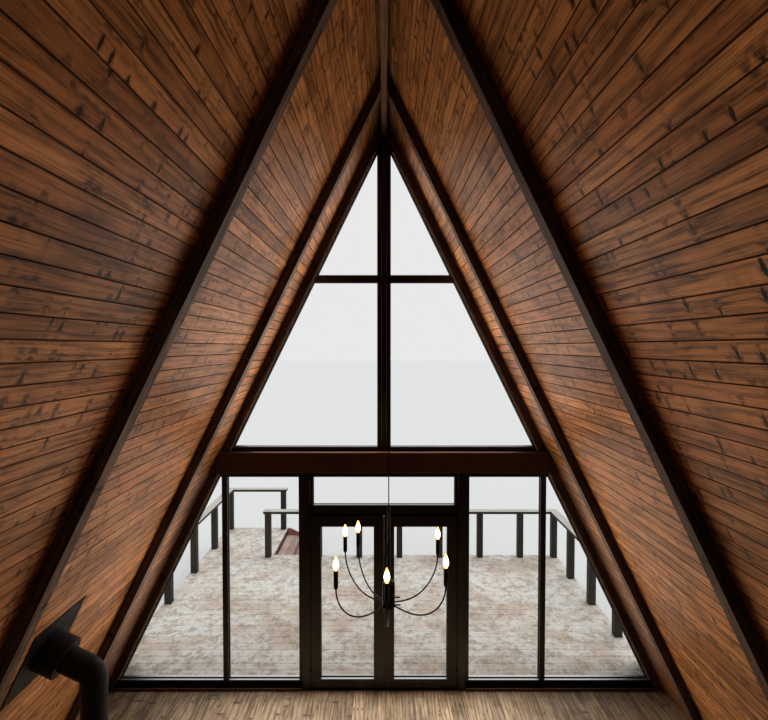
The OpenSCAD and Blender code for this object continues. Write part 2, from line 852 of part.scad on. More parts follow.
module chimney() {
    foot = 80;
    pipe_low = stack_z - stack_r - foot;
    pipe_top = floor_top + chimney_top_h;
    stay_z = floor_top + stay_h;
    wall_t = cover_back + seat;
    cap_r = stack_r + 60;
    cap_h = 80;
    cap_gap = 90;
    tab = [4, 30];
    tab_in = 30;
    band = [4, 50];
    stay = [40, 30];
    stay_foot = [120, 5];
    color("#3a3a3c") placed() {
        on_flue(collar_len) cylinder(r = sleeve_r, h = stack_run - collar_len);
        translate([chimney_x, flue_y, 0]) {
            translate([0, 0, pipe_low]) cylinder(r = stack_r, h = pipe_top - pipe_low);
            for (a = [0 : 90 : 270]) rotate([0, 0, a])
                translate([stack_r - tab_in, -tab[1] / 2, pipe_top])
                    cube([tab[0], tab[1], cap_gap]);
            translate([0, 0, pipe_top + cap_gap]) cylinder(r1 = cap_r, r2 = cap_r / 10, h = cap_h);
            translate([0, 0, stay_z - band[1] / 2]) cylinder(r = stack_r + band[0], h = band[1]);
        }
        along_y(flue_y - stay[0] / 2, flue_y + stay[0] / 2) polygon([
            [slope_x(wall_t, stay_z - stay[1] / 2), stay_z - stay[1] / 2],
            [chimney_x - stack_r, stay_z - stay[1] / 2],
            [chimney_x - stack_r, stay_z + stay[1] / 2],
            [slope_x(wall_t, stay_z + stay[1] / 2), stay_z + stay[1] / 2]
        ]);
        along_y(flue_y - stay_foot[0] / 2, flue_y + stay_foot[0] / 2)
            slope_strip(wall_t, wall_t + stay_foot[1], stay_z - stay_foot[0] / 2,
                        stay_z + stay_foot[0] / 2);
    }
}

// Lamp

module at_lamp() placed() translate([-lamp_off, lamp_y, floor_top]) children();

hub_mid = arm_low_h + arm_drop;
lamp_fix_h = ridge_low - floor_top;
candle_low = arm_low_h + arm_bend_r;

module lamp_cable() {
    rose_r = ridge_w / 2;
    rose_h = 30;
    hook = [14, 5];
    hook_low = lamp_fix_h - rose_h - hook[1];
    color("#1a1a1a") at_lamp() {
        translate([lamp_off, 0, lamp_fix_h - rose_h])
            cylinder(r1 = rose_r - 4, r2 = rose_r, h = rose_h);
        translate([-hook[0] / 2, -hook[0] / 2, hook_low])
            cube([lamp_off + hook[0], hook[0], hook[1]]);
        translate([0, 0, stem_top_h]) cylinder(r = cable_r, h = hook_low - stem_top_h);
    }
}

// Stem, hub and finial, turned in one profile
module lamp_hub() {
    hub_low = hub_mid - hub_r / 2;
    hub_top = hub_low + hub_len;
    spike = 137;
    shoulder = 24;
    color("#1a1a1a") at_lamp() rotate_extrude() polygon([
        [0, hub_low - spike], [hub_r / 8, hub_low - 0.92 * spike],
        [hub_r / 4, hub_low - 0.27 * spike], [hub_r * 0.4, hub_low - shoulder / 2],
        [hub_r, hub_low], [hub_r, hub_top],
        [stem_r + 6, hub_top + shoulder / 2], [stem_r, hub_top + shoulder],
        [stem_r, stem_top_h - shoulder], [cable_r, stem_top_h], [0, stem_top_h]
    ]);
}

// A long shallow arc from the hub, then a quarter bend up to the candle, joined in a ferrule
dip_lean = 2 * atan(arm_drop / (arm_reach - arm_bend_r - hub_r));
dip_run = arm_reach - arm_bend_r - hub_r - arm_r * sin(dip_lean) - seat;
dip_r = (dip_run * dip_run + arm_drop * arm_drop) / (2 * arm_drop);
dip_a = asin(dip_run / dip_r);
ferrule_r = arm_r + 1;
ferrule_len = 14;

// A round rod bent to radius r, from angle a0 over angle a, in the X-Z plane
module bent_rod(r, a0, a)
    translate([0, 0, r]) rotate([90, 0, 0]) rotate([0, 0, a0])
        rotate_extrude(angle = a) translate([r, 0]) circle(r = arm_r);

// One arm, drawn along +X
module lamp_arm()
    translate([arm_reach - arm_bend_r, 0, arm_low_h]) {
        bent_rod(dip_r, -90 - dip_a, dip_a);
        bent_rod(arm_bend_r, -90, 90);
        translate([-ferrule_len / 2, 0, 0]) rotate([0, 90, 0])
            cylinder(r = ferrule_r, h = ferrule_len);
    }

// Turns a piece that is drawn along +X to each arm's heading
module at_arms() for (a = arm_headings) rotate([0, 0, 90 + a]) children();

module lamp_arms() color("#1a1a1a") at_lamp() at_arms() lamp_arm();

module lamp_candles()
    color("#1a1a1a") at_lamp() at_arms()
        translate([arm_reach, 0, candle_low]) cylinder(r = candle_r, h = candle_len);

module lamp_bulbs()
    color("#ffe2b0") at_lamp() at_arms()
        translate([arm_reach, 0, candle_low + candle_len]) rotate_extrude() polygon([
            [0, 0], [bulb_r * 0.55, 0], [bulb_r * 0.85, bulb_len * 0.18],
            [bulb_r, bulb_len * 0.38], [bulb_r * 0.8, bulb_len * 0.62],
            [bulb_r * 0.4, bulb_len * 0.86], [0, bulb_len]
        ]);

piers();
floor_beams();
floor();
rafters_right();
rafters_left();
ridge_beam();
lining_right();
lining_left();
roof_panels_right();
roof_panels_left();
roof_covering_right();
roof_covering_left();
ridge_cap();
barge_boards();
front_sill();
front_tie_beam();
front_rail();
upper_mullion();
upper_frames();
upper_glass();
door_posts();
lower_frames();
lower_glass();
door_jambs();
door_head();
door_hinges();
door_right();
door_right_glass();
door_left();
door_left_glass();
door_handle();
rear_tie_beam();
rear_wall();
rear_window_frames();
rear_window_glass();
deck_frame();
deck_boards();
deck_railing_front();
deck_railing_right();
deck_railing_left();
landing_railing();
step_stringers();
step_treads();
flue_pipe();
flue_plates();
chimney();
lamp_cable();
lamp_hub();
lamp_arms();
lamp_candles();
lamp_bulbs();
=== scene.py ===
"""Looks of a timber A-frame cabin with a glazed gable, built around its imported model.

The camera stands inside the room and looks squarely at the glazed gable. Everything is in metres.
"""
import math
import random

import bmesh
import bpy
import numpy as np
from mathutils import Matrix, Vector

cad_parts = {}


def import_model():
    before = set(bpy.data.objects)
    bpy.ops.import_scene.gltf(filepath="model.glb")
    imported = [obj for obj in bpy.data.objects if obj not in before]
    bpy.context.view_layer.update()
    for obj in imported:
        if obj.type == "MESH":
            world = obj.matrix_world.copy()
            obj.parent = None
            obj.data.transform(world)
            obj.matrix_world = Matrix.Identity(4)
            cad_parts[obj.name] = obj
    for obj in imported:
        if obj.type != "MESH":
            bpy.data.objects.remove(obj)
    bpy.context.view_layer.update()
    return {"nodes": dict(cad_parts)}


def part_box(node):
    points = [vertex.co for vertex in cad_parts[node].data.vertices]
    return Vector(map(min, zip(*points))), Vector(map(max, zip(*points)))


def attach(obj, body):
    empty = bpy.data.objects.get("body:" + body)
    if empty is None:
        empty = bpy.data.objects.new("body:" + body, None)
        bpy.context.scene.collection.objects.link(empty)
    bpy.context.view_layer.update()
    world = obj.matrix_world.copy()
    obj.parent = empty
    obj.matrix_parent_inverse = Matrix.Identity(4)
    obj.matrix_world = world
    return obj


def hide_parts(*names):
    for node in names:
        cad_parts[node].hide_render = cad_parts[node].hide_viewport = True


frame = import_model()
NODES = frame["nodes"]

# The slopes: the floor line is HALF_W from the middle, and the linings would meet ROOM_H above it
HALF_W = 3.3
ROOM_H = 6.7
FLOOR_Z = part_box("floor")[1].z
FRONT_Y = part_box("floor")[0].y
REAR_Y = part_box("floor")[1].y
SLOPE = math.atan2(ROOM_H, HALF_W)
SIN, COS = math.sin(SLOPE), math.cos(SLOPE)
RIDGE_Z = FLOOR_Z + ROOM_H
# How far the rafters stand into the room from the lining's face
RAFTER_PROUD = 0.08

# Camera, at the photograph's viewpoint
CAMERA_BACK = 5.678
CAMERA_H = 4.047
CAMERA_PITCH = math.radians(1.5)
FOCAL_PX = 490.2
IMAGE_W = 768
SENSOR = 36

# Boards and seams
LINING_FACE = 0.096
LINING_T = 0.02
V_DEPTH = 0.0028
BOARD_GAP = 0.0005
TONGUE_T = 0.009
JOINT = 0.0008
FLOOR_FACE = 0.14
FLOOR_T = 0.02
DECK_FACE = 0.14
DECK_GAP = 0.004
CLADDING_FACE = 0.12
SEAM_PITCH = 0.5
SEAM_H = 0.019
SEAM_W = 0.008


# Shaders

def srgb(r, g, b):
    """A colour as it looks on screen, from 0 to 255, as linear values."""
    def linear(c):
        c = c / 255
        return c / 12.92 if c <= 0.04045 else ((c + 0.055) / 1.055) ** 2.4
    return (linear(r), linear(g), linear(b), 1.0)


class Shader:
    """One material with a Principled shader, and short calls that add its nodes."""

    def __init__(self, name, **settings):
        self.material = bpy.data.materials.new(name)
        self.material.use_nodes = True
        self.tree = self.material.node_tree
        self.tree.nodes.clear()
        output = self.tree.nodes.new("ShaderNodeOutputMaterial")
        self.bsdf = self.tree.nodes.new("ShaderNodeBsdfPrincipled")
        self.tree.links.new(self.bsdf.outputs["BSDF"], output.inputs["Surface"])
        for socket, value in settings.items():
            self.set(socket.replace("_", " "), value)

    def feed(self, socket, value):
        if isinstance(value, bpy.types.NodeSocket):
            self.tree.links.new(value, socket)
        else:
            socket.default_value = value

    def set(self, socket, value):
        self.feed(self.bsdf.inputs[socket], value)

    def add(self, kind, inputs, **settings):
        node = self.tree.nodes.new(kind)
        for key, value in settings.items():
            setattr(node, key, value)
        for key, value in inputs.items():
            self.feed(node.inputs[key], value)
        return node

    def grain(self):
        """Metres along the grain and across it."""
        return self.add("ShaderNodeUVMap", {}, uv_map="grain").outputs["UV"]

    def place(self):
        """Metres in the piece's own frame."""
        return self.add("ShaderNodeTexCoord", {}).outputs["Object"]

    def tone(self):
        return self.add("ShaderNodeAttribute", {}, attribute_name="tone").outputs["Fac"]

    def scaled(self, vector, x, y, z=1.0):
        return self.add("ShaderNodeMapping", {"Vector": vector, "Scale": (x, y, z)}).outputs[0]

    def noise(self, vector, scale, detail=2.0, rough=0.5):
        inputs = {"Vector": vector, "Scale": scale, "Detail": detail, "Roughness": rough}
        return self.add("ShaderNodeTexNoise", inputs).outputs["Fac"]

    def calc(self, operation, a, b=0.0):
        return self.add("ShaderNodeMath", {0: a, 1: b}, operation=operation).outputs[0]

    def span(self, value, low, high, to_low=0.0, to_high=1.0):
        inputs = {0: value, 1: low, 2: high, 3: to_low, 4: to_high}
        return self.add("ShaderNodeMapRange", inputs, clamp=True).outputs[0]

    def mix(self, share, a, b, kind="MIX"):
        node = self.add("ShaderNodeMix", {}, data_type="RGBA", blend_type=kind)
        for index, value in ((0, share), (6, a), (7, b)):
            self.feed(node.inputs[index], value)
        return node.outputs[2]

    def parts(self, vector):
        return self.add("ShaderNodeSeparateXYZ", {"Vector": vector}).outputs

    def joined(self, x, y, z=0.0):
        return self.add("ShaderNodeCombineXYZ", {"X": x, "Y": y, "Z": z}).outputs[0]

    def bump(self, height, depth):
        inputs = {"Height": height, "Distance": depth, "Strength": 1.0}
        self.set("Normal", self.add("ShaderNodeBump", inputs).outputs[0])


def wood(name, light, warm, dark, knot, knots, gloss=(0.36, 0.52), contrast=1.0,
         pale_tops=None, depth=0.0006, shine=0.4, sheen=(1.0, 1.0, 1.0, 1.0)):
    """Planed timber whose grain runs along the first grain coordinate, with scattered knots."""
    s = Shader(name, Specular_IOR_Level=shine, Specular_Tint=sheen)
    uv, tone = s.grain(), s.tone()
    ragged = s.scaled(uv, 17, 5.5)
    cells = s.add("ShaderNodeTexVoronoi", {"Vector": ragged, "Scale": 1.0, "Randomness": 0.8},
                  voronoi_dimensions="2D")
    chance = s.parts(cells.outputs["Color"])
    keep = s.calc("GREATER_THAN", chance[0], 1 - knots)
    size = s.span(chance[1], 0, 1, 0.1, 0.25)
    distance = s.calc("ADD", cells.outputs["Distance"],
                      s.calc("MULTIPLY", s.noise(uv, 70, 3, 0.7), 0.18))
    near = s.calc("MULTIPLY", s.span(distance, 0.62, 0.2), keep)
    core = s.calc("MULTIPLY", s.span(s.calc("SUBTRACT", distance, size), 0.05, 0.0), keep)
    along, across = s.parts(uv)[:2]
    wander = s.noise(s.scaled(uv, 0.9, 7), 1.0, 2)
    phase = s.calc("ADD", s.calc("MULTIPLY", across, 130),
                   s.calc("ADD", s.calc("MULTIPLY", wander, 22), s.calc("MULTIPLY", near, 3)))
    rings = s.span(s.calc("SINE", phase), -0.2, 1.0)
    fibre = s.noise(s.joined(s.calc("MULTIPLY", along, 5), s.calc("MULTIPLY", across, 420)), 1, 2, 0.6)
    streak = s.noise(s.scaled(uv, 2.5, 130), 1.0, 3, 0.7)
    blotch = s.noise(s.scaled(uv, 2.2, 9), 1.0, 2)
    smudge = s.noise(s.scaled(uv, 8, 15), 1.0, 3, 0.7)
    ground = s.mix(s.span(tone, 0.1, 0.9), light, warm)
    shade = s.calc("ADD", s.calc("MULTIPLY", rings, 0.26 * contrast),
                   s.calc("MULTIPLY", s.span(fibre, 0.35, 0.75), 0.46 * contrast))
    shade = s.calc("ADD", shade, s.span(streak, 0.42, 0.66, 0, 0.36 * contrast))
    shade = s.calc("ADD", shade, s.span(smudge, 0.52, 0.74, 0, 0.25 * contrast))
    shade = s.calc("ADD", shade, s.span(blotch, 0.45, 0.8, 0, 0.3 * contrast))
    shade = s.calc("ADD", shade, s.calc("MULTIPLY", near, 0.2 * contrast))
    colour = s.mix(shade, ground, dark)
    lift = s.span(s.calc("FRACT", s.calc("MULTIPLY", tone, 7.3)), 0, 1, 0.74, 1.24)
    smoke = s.span(s.noise(s.place(), 2.6, 2, 0.6), 0.5, 0.72, 1.0, 1 - 0.25 * contrast)
    lift = s.calc("MULTIPLY", lift, smoke)
    colour = s.mix(1.0, colour, s.joined(lift, lift, lift), "MULTIPLY")
    colour = s.mix(core, colour, knot)
    # Faces that look upward are mixed towards a paler colour, in blotches
    if pale_tops:
        up = s.parts(s.add("ShaderNodeNewGeometry", {}).outputs["Normal"])[2]
        top_share = s.calc("MULTIPLY", s.span(up, 0.5, 0.9), s.span(blotch, 0.3, 0.6, 0.75, 1.0))
        colour = s.mix(top_share, colour, pale_tops)
    s.set("Base Color", colour)
    s.set("Roughness", s.span(s.calc("ADD", fibre, s.calc("MULTIPLY", blotch, 0.5)), 0.4, 1.1, *gloss))
    s.bump(fibre, depth)
    return s.material


def deck_wood(name):
    """Pale weathered boards with scuffed white, grey and brownish patches."""
    s = Shader(name, Specular_IOR_Level=0.2)
    uv, tone, place = s.grain(), s.tone(), s.place()
    fibre = s.noise(s.scaled(uv, 6, 240), 1.0, 4, 0.65)
    patch = s.noise(place, 1.4, 4, 0.65)
    mottle = s.noise(place, 8.0, 5, 0.85)
    pale = s.mix(tone, srgb(232, 226, 213), srgb(236, 231, 221))
    colour = s.mix(s.span(patch, 0.46, 0.6, 0, 0.8), pale, srgb(208, 186, 166))
    colour = s.mix(s.span(mottle, 0.48, 0.58, 0, 0.7), colour, srgb(158, 145, 132))
    colour = s.mix(s.span(fibre, 0.45, 0.8, 0, 0.12), colour, srgb(150, 138, 124))
    s.set("Base Color", colour)
    s.set("Roughness", s.span(patch, 0.3, 0.7, 0.6, 0.85))
    s.bump(s.calc("ADD", fibre, s.calc("MULTIPLY", mottle, 0.5)), 0.0015)
    return s.material


def coated_metal(name, colour, rough, depth=0.00015, shine=0.5):
    """Metal under a fine, slightly uneven coat."""
    s = Shader(name, Specular_IOR_Level=shine)
    place = s.place()
    cloud = s.noise(place, 5.0, 3)
    lighter = tuple(min(1.0, c * 1.5 + 0.001) for c in colour[:3]) + (1.0,)
    s.set("Base Color", s.mix(s.span(cloud, 0.35, 0.75), colour, lighter))
    s.set("Roughness", s.span(cloud, 0.3, 0.7, rough - 0.06, rough + 0.1))
    s.bump(s.noise(place, 900.0, 2), depth)
    return s.material


def bare_metal(name, colour, rough):
    s = Shader(name, Metallic=1.0)
    brushed = s.noise(s.scaled(s.place(), 40, 40, 900), 1.0, 3)
    s.set("Base Color", colour)
    s.set("Roughness", s.span(brushed, 0.3, 0.7, rough - 0.07, rough + 0.07))
    s.bump(brushed, 0.0001)
    return s.material


def concrete(name):
    s = Shader(name, Specular_IOR_Level=0.3)
    place = s.place()
    cloud = s.noise(place, 3.0, 5, 0.6)
    pores = s.add("ShaderNodeTexVoronoi", {"Vector": place, "Scale": 60.0}).outputs["Distance"]
    pits = s.span(pores, 0.0, 0.16, 1, 0)
    colour = s.mix(s.span(cloud, 0.3, 0.7), srgb(168, 165, 158), srgb(128, 125, 118))
    s.set("Base Color", s.mix(pits, colour, srgb(84, 80, 74)))
    s.set("Roughness", 0.86)
    s.bump(s.calc("SUBTRACT", cloud, pits), 0.002)
    return s.material


def batts(name):
    s = Shader(name, Roughness=1.0)
    fibre = s.noise(s.scaled(s.place(), 30, 30, 90), 1.0, 4)
    s.set("Base Color", s.mix(fibre, srgb(196, 176, 120), srgb(150, 128, 80)))
    s.bump(fibre, 0.004)
    return s.material


def glass(name):
    """Clear panes, mostly see-through, that still mirror the sky a little."""
    s = Shader(name, Alpha=0.05, Base_Color=srgb(120, 128, 127), Specular_IOR_Level=0.8)
    smear = s.noise(s.place(), 0.8, 1)
    s.set("Roughness", s.span(smear, 0.3, 0.7, 0.01, 0.03))
    return s.material


def rubber(name):
    s = Shader(name, Base_Color=srgb(9, 9, 9), Specular_IOR_Level=0.2)
    dust = s.noise(s.place(), 120.0, 2)
    s.set("Roughness", s.span(dust, 0.3, 0.7, 0.6, 0.8))
    return s.material


def reveal_reflection(name):
    """Pale strip with a dull, smeared face: a painted reflection of the bright sky on the frames' reveals.
    """
    s = Shader(name, Specular_IOR_Level=0.3)
    smear = s.noise(s.place(), 14.0, 4, 0.7)
    s.set("Base Color", s.mix(s.span(smear, 0.35, 0.65), srgb(236, 230, 222), srgb(168, 156, 146)))
    s.set("Roughness", s.span(smear, 0.3, 0.7, 0.5, 0.7))
    s.bump(smear, 0.0004)
    return s.material


def bulb_glow(name):
    """Glowing bulb, nearly white in the middle and amber towards its base and tip."""
    s = Shader(name, Base_Color=srgb(255, 226, 176), Roughness=0.3)
    off_middle = s.calc("ABSOLUTE", s.calc("SUBTRACT", s.tone(), 0.45))
    middle = s.calc("SUBTRACT", 1.0, s.calc("MULTIPLY", off_middle, 2.0))
    colour = s.mix(s.span(middle, 0.1, 0.8), srgb(255, 158, 62), srgb(255, 232, 188))
    s.set("Emission Color", colour)
    s.set("Emission Strength", 5.0)
    return s.material


MAT = {
    "stained_boards": wood("stained_boards", srgb(190, 124, 68), srgb(171, 105, 56), srgb(64, 38, 20),
                           srgb(24, 13, 7), knots=0.32, gloss=(0.32, 0.44), shine=0.28,
                           contrast=1.2, depth=0.0003, sheen=(1.0, 0.86, 0.68, 1.0)),
    # Darker wood for the grooves' faces and the boards' edges: painted shade in the grooves
    "groove_shade": wood("groove_shade_wood", srgb(76, 40, 20), srgb(64, 32, 15), srgb(38, 18, 8),
                    srgb(20, 10, 5), knots=0.0, gloss=(0.6, 0.75), shine=0.2),
    "ridge": wood("ridge_wood", srgb(104, 68, 46), srgb(90, 56, 37), srgb(50, 29, 19),
                  srgb(34, 20, 13), knots=0.05, gloss=(0.65, 0.8), shine=0.1),
    "red_timber": wood("red_timber", srgb(76, 40, 25), srgb(66, 33, 20), srgb(34, 16, 9),
                       srgb(18, 8, 5), knots=0.04, gloss=(0.4, 0.55)),
    "dark_timber": wood("dark_timber", srgb(114, 92, 77), srgb(98, 76, 63), srgb(34, 24, 18),
                        srgb(10, 7, 6), knots=0.08, gloss=(0.55, 0.75), shine=0.25, depth=0.0015,
                        contrast=1.3),
    "dark_frame": wood("dark_frame", srgb(26, 21, 18), srgb(23, 18, 16), srgb(14, 11, 9),
                       srgb(12, 9, 8), knots=0.0, gloss=(0.16, 0.28), contrast=0.6, depth=0.0001,
                       shine=0.5),
    "floor_boards": wood("floor_boards", srgb(182, 160, 128), srgb(162, 139, 108),
                         srgb(90, 70, 52), srgb(54, 40, 29), knots=0.08, gloss=(0.4, 0.55), shine=0.3,
                         contrast=1.5),
    "skirting": wood("skirting", srgb(104, 74, 52), srgb(96, 66, 45), srgb(60, 40, 27),
                     srgb(40, 25, 17), knots=0.02),
    "deck_timber": wood("deck_timber", srgb(58, 50, 41), srgb(48, 42, 35), srgb(28, 24, 20),
                        srgb(24, 20, 17), knots=0.08, gloss=(0.6, 0.8),
                        pale_tops=srgb(196, 192, 182), depth=0.0012),
    "step_timber": wood("step_timber", srgb(182, 130, 114), srgb(168, 114, 98), srgb(104, 70, 60),
                        srgb(56, 36, 29), knots=0.06, gloss=(0.6, 0.8), depth=0.0012),
    "step_boards": wood("step_boards", srgb(212, 184, 172), srgb(200, 170, 156), srgb(142, 112, 100),
                        srgb(86, 62, 52), knots=0.06, gloss=(0.6, 0.8), depth=0.0012),
    "deck_boards": deck_wood("deck_boards"),
    "roof_metal": coated_metal("roof_metal", srgb(46, 47, 49), rough=0.4, depth=0.0003),
    "black_metal": coated_metal("black_metal", srgb(9, 9, 9), rough=0.24, shine=0.4),
    "flue_metal": coated_metal("flue_metal", srgb(7, 7, 8), rough=0.5, depth=0.0003, shine=0.3),
    # Pale metal for the ledge strips under the panes: a painted reflection of the sky on the ledges
    "sky_reflection_strip": bare_metal("sky_reflection_metal", srgb(214, 215, 214), 0.4),
    # Pale strips beside the slanted panes: a painted reflection of the sky on the reveals
    "reveal_reflection_strip": reveal_reflection("reveal_reflection_strip"),
    "screws": bare_metal("screw_metal", srgb(150, 150, 148), 0.3),
    "concrete": concrete("concrete"),
    "insulation": batts("insulation"),
    "window_glass": glass("window_glass"),
    "rubber": rubber("rubber"),
    "bulb_glass": bulb_glow("bulb_glass"),
}


# Meshes

def prism(bm, start, end):
    """A closed bar between two outlines with the same number of points."""
    a = [bm.verts.new(p) for p in start]
    b = [bm.verts.new(p) for p in end]
    count = len(a)
    bm.faces.new(a)
    bm.faces.new(b)
    for i in range(count):
        j = (i + 1) % count
        bm.faces.new((a[i], a[j], b[j], b[i]))


def box(bm, low, high, ease):
    """A block with its four long edges cut back by ease."""
    size = [h - l for l, h in zip(low, high)]
    along = size.index(max(size))
    u, v = [i for i in range(3) if i != along]
    e = min(ease, size[u] / 3, size[v] / 3)
    corners = [
        (low[u] + e, low[v]), (high[u] - e, low[v]), (high[u], low[v] + e), (high[u], high[v] - e),
        (high[u] - e, high[v]), (low[u] + e, high[v]), (low[u], high[v] - e), (low[u], low[v] + e)
    ]

    def ring(at):
        points = []
        for p, q in corners:
            point = [0.0, 0.0, 0.0]
            point[along], point[u], point[v] = at, p, q
            points.append(point)
        return points
    prism(bm, ring(low[along]), ring(high[along]))


def circle(bm, centre, u, v, sides):
    """Points round a centre, with u and v as the circle's two half axes."""
    turns = (2 * math.pi * k / sides for k in range(sides))
    return [bm.verts.new(centre + u * math.cos(a) + v * math.sin(a)) for a in turns]


def skin(bm, rings):
    """A closed solid over rings of points, where a ring of one point is a tip."""
    for a, b in zip(rings, rings[1:]):
        count = max(len(a), len(b))
        for k in range(count):
            j = (k + 1) % count
            corners = [a[k % len(a)], a[j % len(a)], b[j % len(b)], b[k % len(b)]]
            bm.faces.new(list(dict.fromkeys(corners)))
    for end in (rings[0], rings[-1]):
        if len(end) > 1:
            bm.faces.new(end)


def tube(bm, path, radius, sides):
    """A round rod along a path."""
    rings = []
    normal = None
    for i, p in enumerate(path):
        ahead = (path[min(i + 1, len(path) - 1)] - path[max(i - 1, 0)]).normalized()
        if normal is None:
            normal = ahead.orthogonal()
        normal = (normal - ahead * normal.dot(ahead)).normalized()
        rings.append(circle(bm, p, radius * normal, radius * ahead.cross(normal), sides))
    skin(bm, rings)


def lathe(bm, profile, centre, steps, axis=Vector((0, 0, 1))):
    """A turned solid: profile is a list of (radius, distance along the axis), closed at its ends."""
    side = Vector((0, 1, 0)).cross(axis).normalized()
    other = axis.cross(side)
    skin(bm, [circle(bm, centre + axis * h, r * side, r * other, steps if r else 1) for r, h in profile])


def islands(bm):
    """The connected parts of a mesh, as lists of faces."""
    seen, found = set(), []
    for first in bm.faces:
        if first in seen:
            continue
        seen.add(first)
        stack, part = [first], []
        while stack:
            face = stack.pop()
            part.append(face)
            for edge in face.edges:
                for other in edge.link_faces:
                    if other not in seen:
                        seen.add(other)
                        stack.append(other)
        found.append(part)
    return found


def long_axis(faces):
    points = np.array([v.co for f in faces for v in f.verts])
    values, vectors = np.linalg.eigh(np.cov((points - points.mean(0)).T))
    axis = Vector(vectors[:, int(values.argmax())])
    for i in range(3):
        if abs(axis[i]) > 0.97:
            return Vector([float(k == i) for k in range(3)])
    return axis


def lay_grain(bm, seed, axis=None):
    """Gives every separate bar its own tone and its own stretch of grain along its length."""
    rng = random.Random(seed)
    uv = bm.loops.layers.uv.new("grain")
    tone = bm.verts.layers.float.new("tone")
    for part in islands(bm):
        along = axis or long_axis(part)
        shift_u, shift_v, shade = rng.uniform(0, 40), rng.uniform(0, 40), rng.random()
        for face in part:
            across = face.normal.cross(along)
            if across.length < 0.3:
                across = along.orthogonal()
            across.normalize()
            for loop in face.loops:
                p = loop.vert.co
                loop[uv].uv = (p.dot(along) + shift_u, p.dot(across) + shift_v)
                loop.vert[tone] = shade


def piece(name, bm, material, body="root", replaces=(), smooth=False):
    """Turns a built mesh into a finished piece on its body."""
    bmesh.ops.recalc_face_normals(bm, faces=bm.faces)
    mesh = bpy.data.meshes.new(name)
    bm.to_mesh(mesh)
    bm.free()
    for polygon in mesh.polygons:
        polygon.use_smooth = smooth
    mesh.materials.append(MAT[material])
    obj = bpy.data.objects.new(name, mesh)
    bpy.context.scene.collection.objects.link(obj)
    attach(obj, body)
    if replaces:
        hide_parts(*replaces)
    return obj


def timber(name, bm, material, seed, axis=None, replaces=()):
    """A piece of bars whose grain runs along each, or along one axis."""
    bmesh.ops.recalc_face_normals(bm, faces=bm.faces)
    bm.normal_update()
    lay_grain(bm, seed, axis)
    return piece(name, bm, material, replaces=replaces)


def clean_copy(node):
    """The node's mesh with its split corners joined and its flat faces whole."""
    bm = bmesh.new()
    bm.from_mesh(NODES[node].data)
    for layer in list(bm.loops.layers.uv):
        bm.loops.layers.uv.remove(layer)
    bmesh.ops.remove_doubles(bm, verts=bm.verts, dist=1e-5)
    bmesh.ops.dissolve_limit(bm, angle_limit=math.radians(1), verts=bm.verts, edges=bm.edges)
    return bm


def cut(bm, point, normal):
    """Takes away what lies beyond a plane and closes the cut."""
    made = bmesh.ops.bisect_plane(bm, geom=bm.verts[:] + bm.edges[:] + bm.faces[:],
                                  plane_co=point, plane_no=normal, clear_outer=True)
    edges = [g for g in made["geom_cut"] if isinstance(g, bmesh.types.BMEdge)]
    bmesh.ops.holes_fill(bm, edges=edges)


def eased(node, material, seed, ease):
    """A node's timbers with their sharp edges planed off."""
    bm = clean_copy(node)
    sharp = [e for e in bm.edges if e.is_manifold and e.calc_face_angle() > math.radians(20)]
    bmesh.ops.bevel(bm, geom=sharp, offset=ease, segments=2, profile=0.5, affect="EDGES",
                    clamp_overlap=True)
    timber(node + "_timber", bm, material, seed, replaces=(node,))


def paint(material, *nodes):
    """Gives nodes whose shape is right their finish."""
    for name in nodes:
        mesh = NODES[name].data
        mesh.materials.clear()
        mesh.materials.append(MAT[material])


def parts_of(node):
    """The box of each separate solid of a node, sorted by its place along Y."""
    bm = clean_copy(node)
    boxes = []
    for part in islands(bm):
        points = np.array([v.co for f in part for v in f.verts])
        boxes.append((Vector(points.min(0)), Vector(points.max(0))))
    bm.free()
    return sorted(boxes, key=lambda b: (round(b[0].y, 4), round(b[0].x, 4), b[0].z))


def slope_point(side, up, back, y):
    """The point up the slope from the floor line, and back behind the lining's face."""
    return Vector((side * (HALF_W - up * COS + back * SIN), y, FLOOR_Z + up * SIN + back * COS))


def slope_x(back, z):
    """How far from the middle the slope is at a height."""
    return (RIDGE_Z - z) / math.tan(SLOPE) + back / SIN


def bar(bm, side, section, y0, y1):
    """A bar from y0 to y1, with its outline in X and Z mirrored to the side it is on."""
    prism(bm, *[[(side * x, y, z) for x, z in section] for y in (y0, y1)])


RAFTERS = parts_of("rafters_right")
BAYS = [(a[1].y, b[0].y) for a, b in zip(RAFTERS, RAFTERS[1:])]
RIDGE_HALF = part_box("ridge_beam")[1].x
FLUE_LOW, FLUE_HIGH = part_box("flue_pipe")
FLUE_Y = (FLUE_LOW.y + FLUE_HIGH.y) / 2
FLUE_R = 0.086
FLUE_SIDES = 64
SLEEVE_R = 0.138
ELBOW_R = 0.092
FLUE_X = FLUE_LOW.x + FLUE_R + 0.006
BEND_Z = FLOOR_Z + 1.75
FLUE_AXIS = Vector((SIN, 0, COS))
ELBOW_END = Vector((FLUE_X + ELBOW_R * (1 - COS), FLUE_Y, BEND_Z + ELBOW_R * SIN))
SLOPE_RUN = (slope_x(0, ELBOW_END.z) - ELBOW_END.x) * SIN
COLLAR_LEN = SLOPE_RUN - 0.155
FLUE_UP = (ELBOW_END.z + SLOPE_RUN * COS - FLOOR_Z) / SIN


# Room

